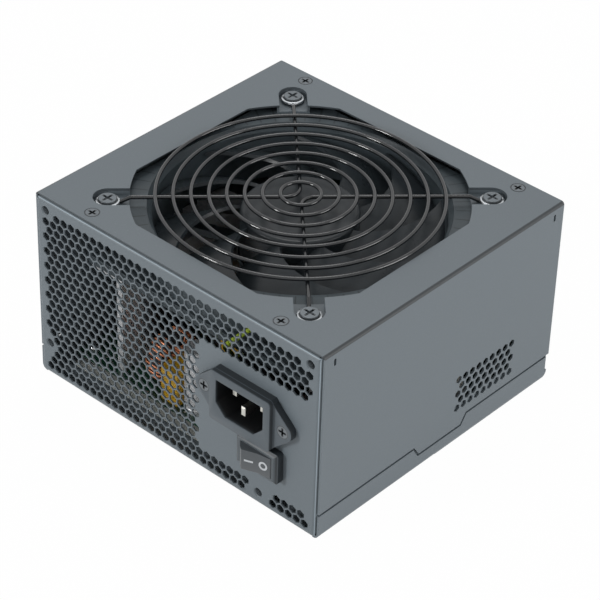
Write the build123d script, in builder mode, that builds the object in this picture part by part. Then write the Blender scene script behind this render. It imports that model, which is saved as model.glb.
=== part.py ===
from build123d import *
import os
from math import asin, cos, radians, sin, sqrt, tan

# A desktop computer power supply: sheet-metal case, top fan, mains inlet and
# rocker switch in front, detachable-lead sockets behind, circuit board inside.
# Origin: centre of the case's footprint. +X right, +Y to the back, +Z up.

os.makedirs("parts", exist_ok=True)

# ---- Case ----
case_width = 150.0
case_depth = 140.0
case_height = 86.0
sheet = 0.8
seam_gap = 0.3            # between the inner flanges and the cover
base_bend = 2.1           # bends, to the middle of the sheet
face_bend = 1.0
cover_bend = 1.1
cover_setback = 1.0       # the cover stops short of each face
face_flange = 10.5        # flange along the top of each face
foot_flange = 9.0         # the inlet face's own flange in the base
side_flange = 8.0
corner_relief = 1.7       # notch beside the foot flange
strip_height = 11.2       # the tray's low sides
strip_seam = 1.0          # open line between strip and cover
lip_bottom = 5.0
lip_top = 17.0
weld_height = 1.2

# ---- Tongue in the middle of each cover side ----
tongue_drop = 4.5
tongue_start = -11.5
tongue_end = 13.5
tongue_slope = 3.0

# ---- Vents: staggered holes ----
vent_pitch = 4.05
vent_hole_radius = 1.57
hex_flats = 3.0
vent_top = 78.4           # centre height of the top row
vent_bottom = 4.0
vent_edge = 69.2
plain_left = 6.2          # plain metal left of the inlet, over it and under the switch
plain_over = 5.8
plain_under = 8.3
side_vent_y = 26.7
side_vent_z = 24.5
side_vent_rows = 5
side_vent_columns = 9
slot_length = 3.2
slot_width = 1.2
slot_y = 63.5
slot_z = 81.0

# ---- Mounting holes in the inlet face ----
mount_side = 69.0
mount_top = 80.0
mount_low_left = 16.0
mount_right = 45.0
mount_bottom = 6.0
mount_hole_radius = 1.75
collar_radius = 2.7
collar_depth = 1.6
mount_margin = 4.5        # plain metal round a hole
mount_margin_low = 6.5

# ---- Mains inlet ----
inlet_x = 39.2
inlet_z = 45.2
inlet_block_width = 30.5
inlet_block_height = 23.0
inlet_block_proud = 5.0
inlet_corner = 1.5
ear_proud = 3.0
ear_radius = 4.3
inlet_screw_reach = 20.0
inlet_body_width = 27.2
inlet_body_height = 19.6
inlet_body_depth = 15.0
cavity_width = 24.0
cavity_height = 15.2
cavity_lift = 0.4         # cavity's middle above the block's
cavity_chamfer = 4.8
cavity_depth = 16.5
blade_spacing = 7.0       # outer blades either side of the middle
blade_offset = 2.0        # outer blades above the cavity's middle, earth below it
blade_width = 2.0
blade_height = 4.0
blade_bevel = 0.5
outer_recess = 4.7        # blade tips behind the block's front
earth_recess = 2.0
tab_length = 8.0
tab_height = 6.0
tab_thickness = 0.8
cut_clearance = 0.2       # round a body in its cut-out

# ---- Rocker switch ----
switch_x = 47.1
switch_z = 25.8
bezel_width = 20.8
bezel_height = 14.0
bezel_proud = 3.0         # at its rim
bezel_rise = 1.0          # from the rim up to the opening
bezel_slope = 1.4         # width of that slope
bezel_corner = 1.0
switch_body_width = 19.4
switch_body_height = 12.0
switch_body_depth = 14.0
switch_floor = 4.0
rocker_radius = 8.8       # ends of the rocker, about its pivot
rocker_height = 9.2
rocker_gap = 0.2          # at the rocker's ends
rocker_side_gap = 0.15
rocker_tilt = 16.0        # either way from level
half_slope = 5.7          # each half rises outwards from the valley
rocker_valley = 5.8       # valley above the pivot
rocker_tail = 3.0         # rocker below the pivot
pressed_proud = 0.2       # pressed end above the opening
pivot_radius = 1.2
pivot_length = 0.8
running_clearance = 0.05
terminal_spacing = 8.8
mark_thickness = 0.12
mark_width = 0.8
line_mark_length = 3.6
circle_mark_radius = 1.9

# ---- Fan ----
fan_size = 120.0
fan_thickness = 25.0
fan_hole_reach = 52.5     # mounting holes, from the middle along X and Y
fan_flange = 4.0
fan_corner = 6.0
duct_radius = 57.5
duct_wall = 1.3
mouth_flare = 1.8
mouth_depth = 3.0
tip_radius = 56.3
hub_radius = 23.4
hub_wall = 1.5
hub_crown = 1.8
hub_recess = 1.8          # hub top below the frame's top
hub_height = 19.0
hub_edge = 1.5
shaft_boss_radius = 3.0
shaft_boss_drop = 3.0
fan_blade_count = 9
fan_blade_thickness = 1.4
fan_blade_start = 133.0   # leading edge at the hub, in degrees
fan_blade_span = 36.0     # degrees from leading to trailing edge, at the hub
leading_sweep = 44.0      # degrees that the edges swing forward towards the tip
trailing_sweep = 40.0
sweep_power = 1.2
fan_blade_drop = 2.2      # blade's leading edge below the hub's top
tip_drop = 1.0
tip_flattening = 3.5
blade_camber = 0.28
motor_radius = 24.0
motor_floor = 2.0
strut_width = 5.0
strut_thickness = 3.0
shaft_radius = 1.5
bearing_radius = 3.5
tube_radius = 5.0
tube_height = 17.5
magnet_wall = 1.9
magnet_height = 13.0
stator_radius = 17.0
stator_height = 9.0
stator_lift = 5.5         # stator above the motor floor
pole_width = 5.0
winding_width = 9.0
winding_length = 6.0
winding_height = 11.0
fan_board_radius = 19.0
fan_board_thickness = 1.2

# ---- Fan opening in the cover ----
opening_half = 58.0
opening_radius = 66.0
pocket_depth = 3.0
pocket_radius = 5.8

# ---- Wire grille ----
wire_radius = 0.8
ring_count = 8
first_ring = 7.9
ring_step = 6.88
spoke_bend = 6.0
drop_bend = 1.2
drop_run = 2.5            # along X, where a spoke steps down to its loop
drop_lead = 1.5           # level wire between the step and the loop
grille_lift = 1.2         # ring wires above the cover's top face, to their middle
weld_bite = 0.1           # rings sunk into the spokes they are welded to
loop_clearance = 0.2

# ---- Screws ----
cover_screw_front = 49.0
cover_screw_back = 56.0
cover_screw_inset = 6.0
cover_head_radius = 2.85
head_rim_gap = 0.2        # shallow recess round each cover screw's head
head_rim_depth = 0.3
cover_shank_radius = 1.45
cover_screw_length = 6.5
fan_head_radius = 3.8
fan_head_height = 1.0
fan_shank_radius = 2.1
fan_screw_length = 8.0
inlet_head_radius = 2.8
inlet_shank_radius = 1.45
inlet_screw_spare = 1.0   # thread beyond the nut
recess_size = 1.05        # a cross recess, as a share of its head's radius
recess_slot = 0.28        # its slots, as a share of their length
recess_depth = 0.65       # its depth, as a share of the head's height
head_rounding = 0.55      # pan head's edge, as a share of the head's height
screw_point = 0.3         # chamfer at the tip, as a share of the shank's radius
nut_flats = 5.5
nut_thickness = 2.4
screw_clearance = 0.05

# ---- Main board ----
board_half_width = 66.0
board_front = -58.0
board_back = 61.0
board_thickness = 1.6
standoff_height = 5.2
standoff_flats = 5.0
board_screw_x = 62.0
board_screw_front = -52.0
board_screw_back = 54.0
board_screw_radius = 1.4
board_head_radius = 2.7
board_head_height = 1.8
film_thickness = 0.4
film_margin = 1.5

# ---- Heatsinks and the parts on them ----
heatsink_thickness = 3.0
heatsink_height = 46.5
primary_x = -44.3
primary_front = -55.0
primary_back = 18.0
secondary_x = 21.5
secondary_front = -14.0
secondary_back = 46.0
fin_reach = 15.0
fin_count = 9
fin_gap = 2.5
package_width = 10.2
package_height = 15.5
package_thickness = 4.6
package_lift = 12.0
lead_length = 12.0
lead_width = 0.9
transistor_y = -24.0      # middle one of each row
output_rectifier_y = 14.0
package_spacing = 18.0
bridge_width = 24.0
bridge_height = 20.0
bridge_thickness = 4.0
bridge_y = -31.0

# ---- Board parts: centres and sizes ----
can_edge = 0.8
can_groove_radius = 0.7
can_groove_height = 2.5
bulk_x = -20.0
bulk_y = 36.5
bulk_radius = 15.0
bulk_height = 42.0
transformer_x = -4.0
transformer_y = -13.0
core_width = 36.0
core_depth = 34.0
core_height = 34.0
core_limb = 9.0
winding_overhang = 2.0    # winding beyond the core, in front and behind
winding_corner = 3.0
standby_x = -31.0
standby_y = 8.0
standby_size = 17.0
standby_height = 15.3
standby_corner = 1.0
filter_x = -26.0
filter_y = -44.5
filter_outer = 11.5
filter_inner = 5.0
filter_depth = 9.0
boost_x = 46.0
boost_y = -27.0
boost_outer = 17.0
boost_inner = 8.0
boost_height = 15.0
output_choke_x = 47.5
output_choke_y = 7.0
output_choke_outer = 12.5
output_choke_inner = 5.5
output_choke_height = 12.0
core_inset = 1.5          # core inside its winding
winding_gap = 16.0        # degrees left bare on each side of a choke
input_cap_x = -5.4
input_cap_y = -50.7
input_cap_radius = 5.4
input_cap_height = 30.0
x_cap_x = -16.0
x_cap_y = -44.7
x_cap_width = 9.5
x_cap_depth = 23.0
x_cap_height = 16.0
x_cap_corner = 0.8
y_cap_x = 21.5
y_cap_y = -40.0
y_cap_spacing = 10.0
y_cap_radius = 4.5
y_cap_thickness = 3.0
fuse_length = 20.0
fuse_radius = 2.6
fuse_x = 26.0
fuse_y = -50.0
output_cap_radius = 5.0
output_cap_height = 22.0
output_cap_pitch = 12.0
output_cap_x = 46.0
output_cap_y = 33.0
controller_x = 3.0
controller_y = 12.0
controller_width = 24.0
controller_height = 26.0
header_width = 8.0
header_depth = 5.0
header_height = 7.0
header_x = 61.0
header_y = 26.0

# ---- Output side ----
socket_board_half_width = 62.0
socket_board_bottom = 3.0
socket_board_top = 56.0
socket_pitch = 4.2
socket_wall = 0.8
socket_cell = 3.4
socket_proud = 3.0
socket_cell_depth = 8.0
pin_radius = 0.55
pin_length = 6.0
upper_socket_z = 42.0
lower_socket_z = 22.0
output_lead_radius = 1.3
output_lead_count = 8
output_lead_pitch = 5.0

# ---- Internal leads ----
mains_lead_radius = 1.1
fan_lead_radius = 0.9

# ---- Derived heights and places ----
half_width = case_width / 2
half_depth = case_depth / 2
skin = sheet / 2
face_half_width = half_width - sheet - seam_gap
face_top = case_height - sheet - seam_gap
strip_half_length = half_depth - base_bend - skin
cover_half_length = half_depth - cover_setback
side_bottom = strip_height + strip_seam
flange_bottom = base_bend + skin + strip_seam / 2
foot_half_width = face_half_width - corner_relief
foot_back = half_depth - foot_flange
row_pitch = vent_pitch * sqrt(3) / 2

pocket_floor = case_height - pocket_depth
fan_top = pocket_floor - sheet
fan_bottom = fan_top - fan_thickness
hub_top = fan_top - hub_recess
hub_bottom = hub_top - hub_height
motor_top = fan_bottom + motor_floor
ring_height = case_height + grille_lift
spoke_height = ring_height - 2 * wire_radius + weld_bite
loop_height = pocket_floor + wire_radius
loop_radius = fan_shank_radius + loop_clearance + wire_radius

board_bottom = sheet + standoff_height
board_top = board_bottom + board_thickness
heatsink_top = board_top + heatsink_height

cover_screw_y = half_depth - cover_screw_inset
cover_screw_points = [
    (-cover_screw_front, -cover_screw_y),
    (cover_screw_front, -cover_screw_y),
    (-cover_screw_back, cover_screw_y),
    (cover_screw_back, cover_screw_y),
]
mounting_points = [
    (-mount_side, mount_top),
    (mount_side, mount_top),
    (-mount_side, mount_low_left),
    (mount_right, mount_bottom),
]
fan_hole_points = [
    (-fan_hole_reach, -fan_hole_reach),
    (fan_hole_reach, -fan_hole_reach),
    (-fan_hole_reach, fan_hole_reach),
    (fan_hole_reach, fan_hole_reach),
]
board_screw_points = [
    (-board_screw_x, board_screw_front),
    (board_screw_x, board_screw_front),
    (-board_screw_x, board_screw_back),
    (board_screw_x, board_screw_back),
]


def outside(distance):
    """A plane in front of the inlet face: local x is X, local y is Z."""
    return Plane.XZ.offset(half_depth + distance)


def vent_rows(edge, top, bottom):
    """Centres of staggered holes between two heights, over the face's width."""
    centres = []
    for row in range(int((top - bottom) / row_pitch) + 1):
        start = -mount_side + (vent_pitch / 2 if row % 2 == 0 else 0.0)
        count = int((edge - start) / vent_pitch) + 1
        centres += [(start + k * vent_pitch, top - row * row_pitch) for k in range(count)]
    return centres


def clear_of(point, centre, margin):
    return sqrt((point[0] - centre[0]) ** 2 + (point[1] - centre[1]) ** 2) > margin


def phillips_cut(size):
    """The two crossed slots of a screw's recess, for a sketch."""
    Rectangle(size, size * recess_slot)
    Rectangle(size * recess_slot, size)


def pan_screw(head_radius, head_height, shank_radius, length):
    """A pan-head screw that seats at z = 0 with its head up."""
    with BuildPart() as screw:
        Cylinder(head_radius, head_height, align=(Align.CENTER, Align.CENTER, Align.MIN))
        fillet(screw.edges().sort_by(Axis.Z)[-1], radius=head_height * head_rounding)
        with BuildSketch(Plane.XY.offset(head_height)):
            phillips_cut(head_radius * recess_size)
        extrude(amount=-head_height * recess_depth, mode=Mode.SUBTRACT)
        Cylinder(shank_radius, length, align=(Align.CENTER, Align.CENTER, Align.MAX))
        chamfer(screw.edges().sort_by(Axis.Z)[0], length=shank_radius * screw_point)
    return screw.part


def flat_screw(head_radius, shank_radius, length):
    """A countersunk screw with the face of its head at z = 0."""
    head_height = head_radius - shank_radius
    with BuildPart() as screw:
        Cone(shank_radius, head_radius, head_height, align=(Align.CENTER, Align.CENTER, Align.MAX))
        Cylinder(shank_radius, length, align=(Align.CENTER, Align.CENTER, Align.MAX))
        chamfer(screw.edges().sort_by(Axis.Z)[0], length=shank_radius * screw_point)
        with BuildSketch(Plane.XY):
            phillips_cut(head_radius * recess_size)
        extrude(amount=-head_height * recess_depth, mode=Mode.SUBTRACT)
    return screw.part


def lead(points, radii, radius):
    """A round wire along straight runs joined by arcs."""
    with BuildPart() as wire:
        with BuildLine() as path:
            FilletPolyline(*points, radius=radii)
        with BuildSketch(Plane(origin=path.line @ 0, z_dir=path.line % 0)):
            Circle(radius)
        sweep()
    return wire.part


# ---- Inlet face: flanged top, sides and foot, with the vent ----
face_vents = [
    point
    for point in vent_rows(vent_edge, vent_top, vent_bottom)
    if all(clear_of(point, centre, mount_margin) for centre in mounting_points[:3])
    and clear_of(point, mounting_points[3], mount_margin_low)
    and not (
        point[0] > inlet_x - inlet_screw_reach - plain_left
        and switch_z - bezel_height / 2 - plain_under < point[1]
        and point[1] < inlet_z + inlet_block_height / 2 + plain_over
    )
]

with BuildPart() as inlet_face:
    with BuildSketch(Plane.YZ):
        with BuildLine():
            FilletPolyline(
                (-half_depth + face_flange, face_top - skin),
                (-half_depth + skin, face_top - skin),
                (-half_depth + skin, skin),
                (-foot_back, skin),
                radius=(face_bend, base_bend),
            )
        trace(line_width=sheet)
    extrude(amount=face_half_width, both=True)
    # Relief at the foot's corners, where the tray's strips turn up
    for side in (-1, 1):
        with Locations((side * face_half_width, -half_depth, 0)):
            Box(
                2 * corner_relief,
                2 * foot_flange,
                2 * flange_bottom,
                mode=Mode.SUBTRACT,
            )
    for side in (-1, 1):
        with Locations((side * (face_half_width - skin), -half_depth, flange_bottom)):
            Box(
                sheet,
                side_flange,
                face_top - face_bend - skin - flange_bottom,
                align=(Align.CENTER, Align.MIN, Align.MIN),
            )
    # Round the upright bends
    with BuildSketch(Plane.XY.offset(flange_bottom)):
        with Locations((0, -half_depth)):
            Rectangle(2 * face_half_width, 2 * side_flange)
        with Locations((0, -half_depth + side_flange)):
            RectangleRounded(2 * face_half_width, 2 * side_flange, face_bend + skin, mode=Mode.SUBTRACT)
    extrude(amount=face_top - face_bend - skin - flange_bottom, mode=Mode.SUBTRACT)
    # Screw collars behind the mounting holes and under the top flange
    with BuildSketch(outside(-sheet)):
        with Locations(*mounting_points):
            Circle(collar_radius)
    extrude(amount=-collar_depth)
    with BuildSketch(Plane.XY.offset(face_top - sheet)):
        with Locations(*cover_screw_points[:2]):
            Circle(collar_radius)
    extrude(amount=-collar_depth)
    with BuildSketch(outside(0)):
        with Locations(*mounting_points):
            Circle(mount_hole_radius)
    extrude(amount=-(sheet + collar_depth), mode=Mode.SUBTRACT)
    with BuildSketch(Plane.XY.offset(face_top)):
        with Locations(*cover_screw_points[:2]):
            Circle(cover_shank_radius + seam_gap)
    extrude(amount=-(sheet + collar_depth), mode=Mode.SUBTRACT)
    # Openings for the inlet and the switch
    with BuildSketch(outside(0)):
        with Locations((inlet_x, inlet_z)):
            Rectangle(inlet_body_width + 2 * cut_clearance, inlet_body_height + 2 * cut_clearance)
        with Locations((inlet_x - inlet_screw_reach, inlet_z), (inlet_x + inlet_screw_reach, inlet_z)):
            Circle(inlet_shank_radius + screw_clearance)
        with Locations((switch_x, switch_z)):
            Rectangle(switch_body_width + 2 * cut_clearance, switch_body_height + 2 * cut_clearance)
    extrude(amount=-sheet, mode=Mode.SUBTRACT)
    with BuildSketch(outside(0)):
        with Locations(*face_vents):
            Circle(vent_hole_radius)
    extrude(amount=-sheet, mode=Mode.SUBTRACT, clean=False)

inlet_face.part.label = "inlet face"
export_step(inlet_face.part, "parts/inlet_face.step")

# ---- Base tray: base, output face and two low side strips ----
socket_rows = [
    (-38.0, upper_socket_z, 10),
    (8.0, upper_socket_z, 4),
    (37.0, upper_socket_z, 4),
    (-48.0, lower_socket_z, 3),
    (-25.0, lower_socket_z, 3),
    (-2.0, lower_socket_z, 3),
    (21.0, lower_socket_z, 3),
    (44.0, lower_socket_z, 3),
]
socket_height = 2 * socket_pitch + 2 * socket_wall


def socket_width(columns):
    return columns * socket_pitch + 2 * socket_wall


with BuildPart() as base_tray:
    with BuildSketch(Plane.XZ.offset(-strip_half_length)):
        with BuildLine():
            FilletPolyline(
                (-half_width + skin, strip_height),
                (-half_width + skin, skin),
                (half_width - skin, skin),
                (half_width - skin, strip_height),
                radius=base_bend,
            )
        trace(line_width=sheet)
    extrude(amount=strip_half_length + cover_half_length)
    with BuildSketch(Plane.YZ):
        with BuildLine():
            FilletPolyline(
                (0, skin),
                (half_depth - skin, skin),
                (half_depth - skin, face_top - skin),
                (half_depth - face_flange, face_top - skin),
                radius=(base_bend, face_bend),
            )
        trace(line_width=sheet)
    extrude(amount=face_half_width, both=True)
    # The inlet face's foot fills this gap in the base
    with Locations((0, -foot_back, 0)):
        Box(
            2 * foot_half_width,
            2 * foot_flange,
            2 * sheet,
            align=(Align.CENTER, Align.MAX, Align.CENTER),
            mode=Mode.SUBTRACT,
        )
    # The strips dip under the cover's tongues
    with BuildSketch(Plane.YZ):
        with BuildLine():
            Polyline(
                (tongue_start - strip_seam / 2, strip_height - tongue_drop),
                (tongue_end + strip_seam / 2, strip_height - tongue_drop),
                (tongue_end + strip_seam / 2 + tongue_slope, strip_height),
                (tongue_start - strip_seam / 2 - tongue_slope, strip_height),
                close=True,
            )
        make_face()
    extrude(amount=half_width, both=True, mode=Mode.SUBTRACT)
    for side in (-1, 1):
        # A lip welded inside the strip, behind the cover's side
        with Locations((side * (face_half_width - skin), 0, (lip_bottom + lip_top) / 2)):
            Box(sheet, 2 * (strip_half_length - side_flange), lip_top - lip_bottom)
        with Locations((side * (face_half_width + seam_gap / 2), 0, lip_bottom + weld_height / 2)):
            Box(seam_gap, 2 * (strip_half_length - side_flange), weld_height)
        with Locations((side * (face_half_width - skin), half_depth, flange_bottom)):
            Box(
                sheet,
                side_flange,
                face_top - face_bend - skin - flange_bottom,
                align=(Align.CENTER, Align.MAX, Align.MIN),
            )
    with BuildSketch(Plane.XY.offset(flange_bottom)):
        with Locations((0, half_depth)):
            Rectangle(2 * face_half_width, 2 * side_flange)
        with Locations((0, half_depth - side_flange)):
            RectangleRounded(2 * face_half_width, 2 * side_flange, face_bend + skin, mode=Mode.SUBTRACT)
    extrude(amount=face_top - face_bend - skin - flange_bottom, mode=Mode.SUBTRACT)
    with BuildSketch(Plane.XY.offset(face_top - sheet)):
        with Locations(*cover_screw_points[2:]):
            Circle(collar_radius)
    extrude(amount=-collar_depth)
    with BuildSketch(Plane.XY.offset(face_top)):
        with Locations(*cover_screw_points[2:]):
            Circle(cover_shank_radius + seam_gap)
    extrude(amount=-(sheet + collar_depth), mode=Mode.SUBTRACT)
    with BuildSketch(Plane.XZ.offset(-half_depth)):
        for x, z, columns in socket_rows:
            with Locations((x, z)):
                Rectangle(socket_width(columns) + 2 * cut_clearance, socket_height + 2 * cut_clearance)
    extrude(amount=sheet, mode=Mode.SUBTRACT)

base_tray.part.label = "base tray"
export_step(base_tray.part, "parts/base_tray.step")

# ---- Top cover: top and both sides from one sheet ----
with BuildPart() as top_cover:
    with BuildSketch(Plane.XZ):
        with BuildLine():
            FilletPolyline(
                (-half_width + skin, side_bottom - tongue_drop),
                (-half_width + skin, case_height - skin),
                (half_width - skin, case_height - skin),
                (half_width - skin, side_bottom - tongue_drop),
                radius=cover_bend,
            )
        trace(line_width=sheet)
    extrude(amount=cover_half_length, both=True)
    # The sides end above the strips, apart from the tongues
    with BuildSketch(Plane.YZ):
        with BuildLine():
            Polyline(
                (tongue_start, side_bottom - tongue_drop),
                (tongue_start - tongue_slope, side_bottom),
                (-half_depth, side_bottom),
                (-half_depth, side_bottom - tongue_drop),
                close=True,
            )
        make_face()
        with BuildLine():
            Polyline(
                (tongue_end, side_bottom - tongue_drop),
                (tongue_end + tongue_slope, side_bottom),
                (half_depth, side_bottom),
                (half_depth, side_bottom - tongue_drop),
                close=True,
            )
        make_face()
    extrude(amount=half_width, both=True, mode=Mode.SUBTRACT)
    # Sunk seats for the fan screws, open to the fan's opening
    with BuildSketch(Plane.XY.offset(fan_top)):
        with PolarLocations(fan_hole_reach * sqrt(2), 4, start_angle=45):
            Circle(pocket_radius + sheet)
            Rectangle(2 * pocket_radius, 2 * (pocket_radius + sheet), align=(Align.MAX, Align.CENTER))
    extrude(amount=pocket_depth)
    with BuildSketch(Plane.XY.offset(pocket_floor)):
        with PolarLocations(fan_hole_reach * sqrt(2), 4, start_angle=45):
            Circle(pocket_radius)
            Rectangle(2 * pocket_radius + sheet, 2 * pocket_radius, align=(Align.MAX, Align.CENTER))
    extrude(amount=pocket_depth, mode=Mode.SUBTRACT)
    with BuildSketch(Plane.XY.offset(fan_top)):
        Rectangle(2 * opening_half, 2 * opening_half)
        Circle(opening_radius, mode=Mode.INTERSECT)
    extrude(amount=pocket_depth + sheet, mode=Mode.SUBTRACT)
    with BuildSketch(Plane.XY.offset(fan_top)):
        with Locations(*fan_hole_points):
            Circle(fan_shank_radius + loop_clearance)
    extrude(amount=sheet, mode=Mode.SUBTRACT)
    with Locations(*[(x, y, case_height) for x, y in cover_screw_points]):
        Cone(
            cover_head_radius - sheet,
            cover_head_radius,
            sheet,
            align=(Align.CENTER, Align.CENTER, Align.MAX),
            mode=Mode.SUBTRACT,
        )
    with BuildSketch(Plane.XY.offset(case_height)):
        with Locations(*cover_screw_points):
            Circle(cover_head_radius + head_rim_gap)
    extrude(amount=-head_rim_depth, mode=Mode.SUBTRACT)
    # Two locating slots high on each side
    with BuildSketch(Plane.YZ):
        with Locations((-slot_y, slot_z), (slot_y, slot_z)):
            SlotOverall(slot_length, slot_width, rotation=90)
    extrude(amount=half_width, both=True, mode=Mode.SUBTRACT)
    with BuildSketch(Plane.YZ.offset(half_width - sheet)):
        for row in range(side_vent_rows):
            holes = side_vent_columns - row % 2
            height = side_vent_z + (row - (side_vent_rows - 1) / 2) * row_pitch
            with Locations((side_vent_y, height)):
                with GridLocations(vent_pitch, 0, holes, 1):
                    RegularPolygon(hex_flats / 2, 6, major_radius=False, rotation=30)
    extrude(amount=sheet, mode=Mode.SUBTRACT, clean=False)

top_cover.part.label = "top cover"
export_step(top_cover.part, "parts/top_cover.step")

with BuildPart() as cover_screws:
    with Locations(*[(x, y, case_height) for x, y in cover_screw_points]):
        add(flat_screw(cover_head_radius, cover_shank_radius, cover_screw_length))

cover_screws.part.label = "cover screws"
export_step(cover_screws.part, "parts/cover_screws.step")

# ---- Fan ----
with BuildPart() as fan_frame:
    with BuildSketch(Plane.XY.offset(fan_bottom), Plane.XY.offset(fan_top - fan_flange)):
        RectangleRounded(fan_size, fan_size, fan_corner)
    extrude(amount=fan_flange)
    with BuildSketch(Plane.XY.offset(fan_bottom)):
        Circle(duct_radius + duct_wall)
    extrude(amount=fan_thickness)
    with BuildSketch(Plane.XY.offset(fan_bottom)):
        Circle(duct_radius)
    extrude(amount=fan_thickness, mode=Mode.SUBTRACT)
    with Locations((0, 0, fan_top)):
        Cone(
            duct_radius,
            duct_radius + mouth_flare,
            mouth_depth,
            align=(Align.CENTER, Align.CENTER, Align.MAX),
            mode=Mode.SUBTRACT,
        )
    with BuildSketch(Plane.XY.offset(fan_bottom)):
        with Locations(*fan_hole_points):
            Circle(fan_shank_radius + screw_clearance)
    extrude(amount=fan_thickness, mode=Mode.SUBTRACT)
    # Motor mount on four struts, with the bearing tube
    with BuildSketch(Plane.XY.offset(fan_bottom)):
        with PolarLocations(motor_radius - motor_floor, 4, start_angle=20):
            Rectangle(
                duct_radius - motor_radius + motor_floor + duct_wall / 2,
                strut_width,
                align=(Align.MIN, Align.CENTER),
            )
    extrude(amount=strut_thickness)
    with BuildSketch(Plane.XY.offset(fan_bottom)):
        Circle(motor_radius)
    extrude(amount=strut_thickness)
    with BuildSketch(Plane.XY.offset(motor_top)):
        Circle(motor_radius - motor_floor)
    extrude(amount=strut_thickness, mode=Mode.SUBTRACT)
    with BuildSketch(Plane.XY.offset(motor_top)):
        Circle(tube_radius)
    extrude(amount=tube_height - motor_floor)
    with BuildSketch(Plane.XY.offset(motor_top)):
        Circle(bearing_radius)
    extrude(amount=tube_height, mode=Mode.SUBTRACT)

fan_frame.part.label = "fan frame"
export_step(fan_frame.part, "parts/fan_frame.step")


def fan_blade_point(across, along):
    """A point on the blade: across runs from root to tip, along from leading to trailing edge."""
    root = hub_radius - hub_wall / 2
    reach = tip_radius + fan_blade_thickness
    radius = root + (reach - root) * across
    leading = fan_blade_start + leading_sweep * across**sweep_power
    trailing = fan_blade_start - fan_blade_span + trailing_sweep * across**sweep_power
    angle = radians(leading + (trailing - leading) * along)
    top = hub_top - fan_blade_drop - tip_drop * across
    drop = hub_height - 2 * fan_blade_drop - tip_flattening * across
    height = top - drop * (along - blade_camber * along * (1 - along))
    return (radius * cos(angle), radius * sin(angle), height)


blade_steps = [step / 8 for step in range(9)]
blade_surface = Face.make_surface_from_array_of_points(
    [[fan_blade_point(across, along) for along in blade_steps] for across in blade_steps]
)

with BuildPart() as fan_blade:
    thicken(blade_surface, amount=fan_blade_thickness / 2, both=True)
    with Locations((0, 0, fan_bottom)):
        Cylinder(
            tip_radius,
            fan_thickness,
            align=(Align.CENTER, Align.CENTER, Align.MIN),
            mode=Mode.INTERSECT,
        )

with BuildPart() as fan_rotor:
    with BuildSketch(Plane.XY.offset(hub_bottom)):
        Circle(hub_radius)
    extrude(amount=hub_height)
    fillet(fan_rotor.edges().sort_by(Axis.Z)[-1], radius=hub_edge)
    with BuildSketch(Plane.XY.offset(hub_bottom)):
        Circle(hub_radius - hub_wall)
    extrude(amount=hub_height - hub_crown, mode=Mode.SUBTRACT)
    with BuildSketch(Plane.XY.offset(hub_top - hub_crown)):
        Circle(shaft_boss_radius)
    extrude(amount=-shaft_boss_drop)
    with BuildSketch(Plane.XY.offset(hub_top - hub_crown)):
        Circle(shaft_radius)
    extrude(amount=-shaft_boss_drop, mode=Mode.SUBTRACT)
    with PolarLocations(0, fan_blade_count):
        add(fan_blade.part)

fan_rotor.part.label = "fan hub and blades"
export_step(fan_rotor.part, "parts/fan_rotor.step")

with BuildPart() as magnet_ring:
    with BuildSketch(Plane.XY.offset(hub_top - hub_crown)):
        Circle(hub_radius - hub_wall)
        Circle(hub_radius - hub_wall - magnet_wall, mode=Mode.SUBTRACT)
    extrude(amount=-magnet_height)

magnet_ring.part.label = "magnet ring"
export_step(magnet_ring.part, "parts/magnet_ring.step")

with BuildPart() as fan_shaft:
    with BuildSketch(Plane.XY.offset(hub_top - hub_crown)):
        Circle(shaft_radius)
    extrude(amount=-(hub_top - hub_crown - motor_top - 4 * running_clearance))

fan_shaft.part.label = "fan shaft"
export_step(fan_shaft.part, "parts/fan_shaft.step")

with BuildPart() as fan_bearing:
    with BuildSketch(Plane.XY.offset(motor_top + fan_board_thickness)):
        Circle(bearing_radius)
        Circle(shaft_radius + running_clearance, mode=Mode.SUBTRACT)
    extrude(amount=tube_height - motor_floor - fan_board_thickness - screw_clearance)

fan_bearing.part.label = "fan bearing"
export_step(fan_bearing.part, "parts/fan_bearing.step")

with BuildPart() as fan_stator:
    with BuildSketch(Plane.XY.offset(motor_top + stator_lift)):
        Circle(tube_radius + winding_length / 3)
        with PolarLocations(stator_radius / 2, 4):
            Rectangle(stator_radius, pole_width)
        with BuildSketch(mode=Mode.PRIVATE) as shoes:
            Circle(stator_radius)
            Circle(tube_radius + winding_length / 3 + winding_length, mode=Mode.SUBTRACT)
            with PolarLocations(stator_radius, 4, start_angle=45):
                Rectangle(2 * stator_radius, pole_width, mode=Mode.SUBTRACT)
        add(shoes.sketch)
        Circle(tube_radius, mode=Mode.SUBTRACT)
        Circle(stator_radius, mode=Mode.INTERSECT)
    extrude(amount=stator_height)

fan_stator.part.label = "fan stator"
export_step(fan_stator.part, "parts/fan_stator.step")

with BuildPart() as fan_windings:
    with BuildSketch(Plane.XY.offset(motor_top + stator_lift - (winding_height - stator_height) / 2)):
        with PolarLocations(tube_radius + winding_length / 3 + winding_length / 2, 4):
            Rectangle(winding_length * 0.8, winding_width)
    extrude(amount=winding_height)
    add(fan_stator.part, mode=Mode.SUBTRACT)

fan_windings.part.label = "fan windings"
export_step(fan_windings.part, "parts/fan_windings.step")

with BuildPart() as fan_board:
    with BuildSketch(Plane.XY.offset(motor_top)):
        Circle(fan_board_radius)
        Circle(tube_radius, mode=Mode.SUBTRACT)
    extrude(amount=fan_board_thickness)

fan_board.part.label = "fan circuit board"
export_step(fan_board.part, "parts/fan_board.step")

with BuildPart() as fan_screws:
    with Locations(*[(x, y, loop_height + wire_radius) for x, y in fan_hole_points]):
        add(pan_screw(fan_head_radius, fan_head_height, fan_shank_radius, fan_screw_length))

fan_screws.part.label = "fan screws"
export_step(fan_screws.part, "parts/fan_screws.step")

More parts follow.
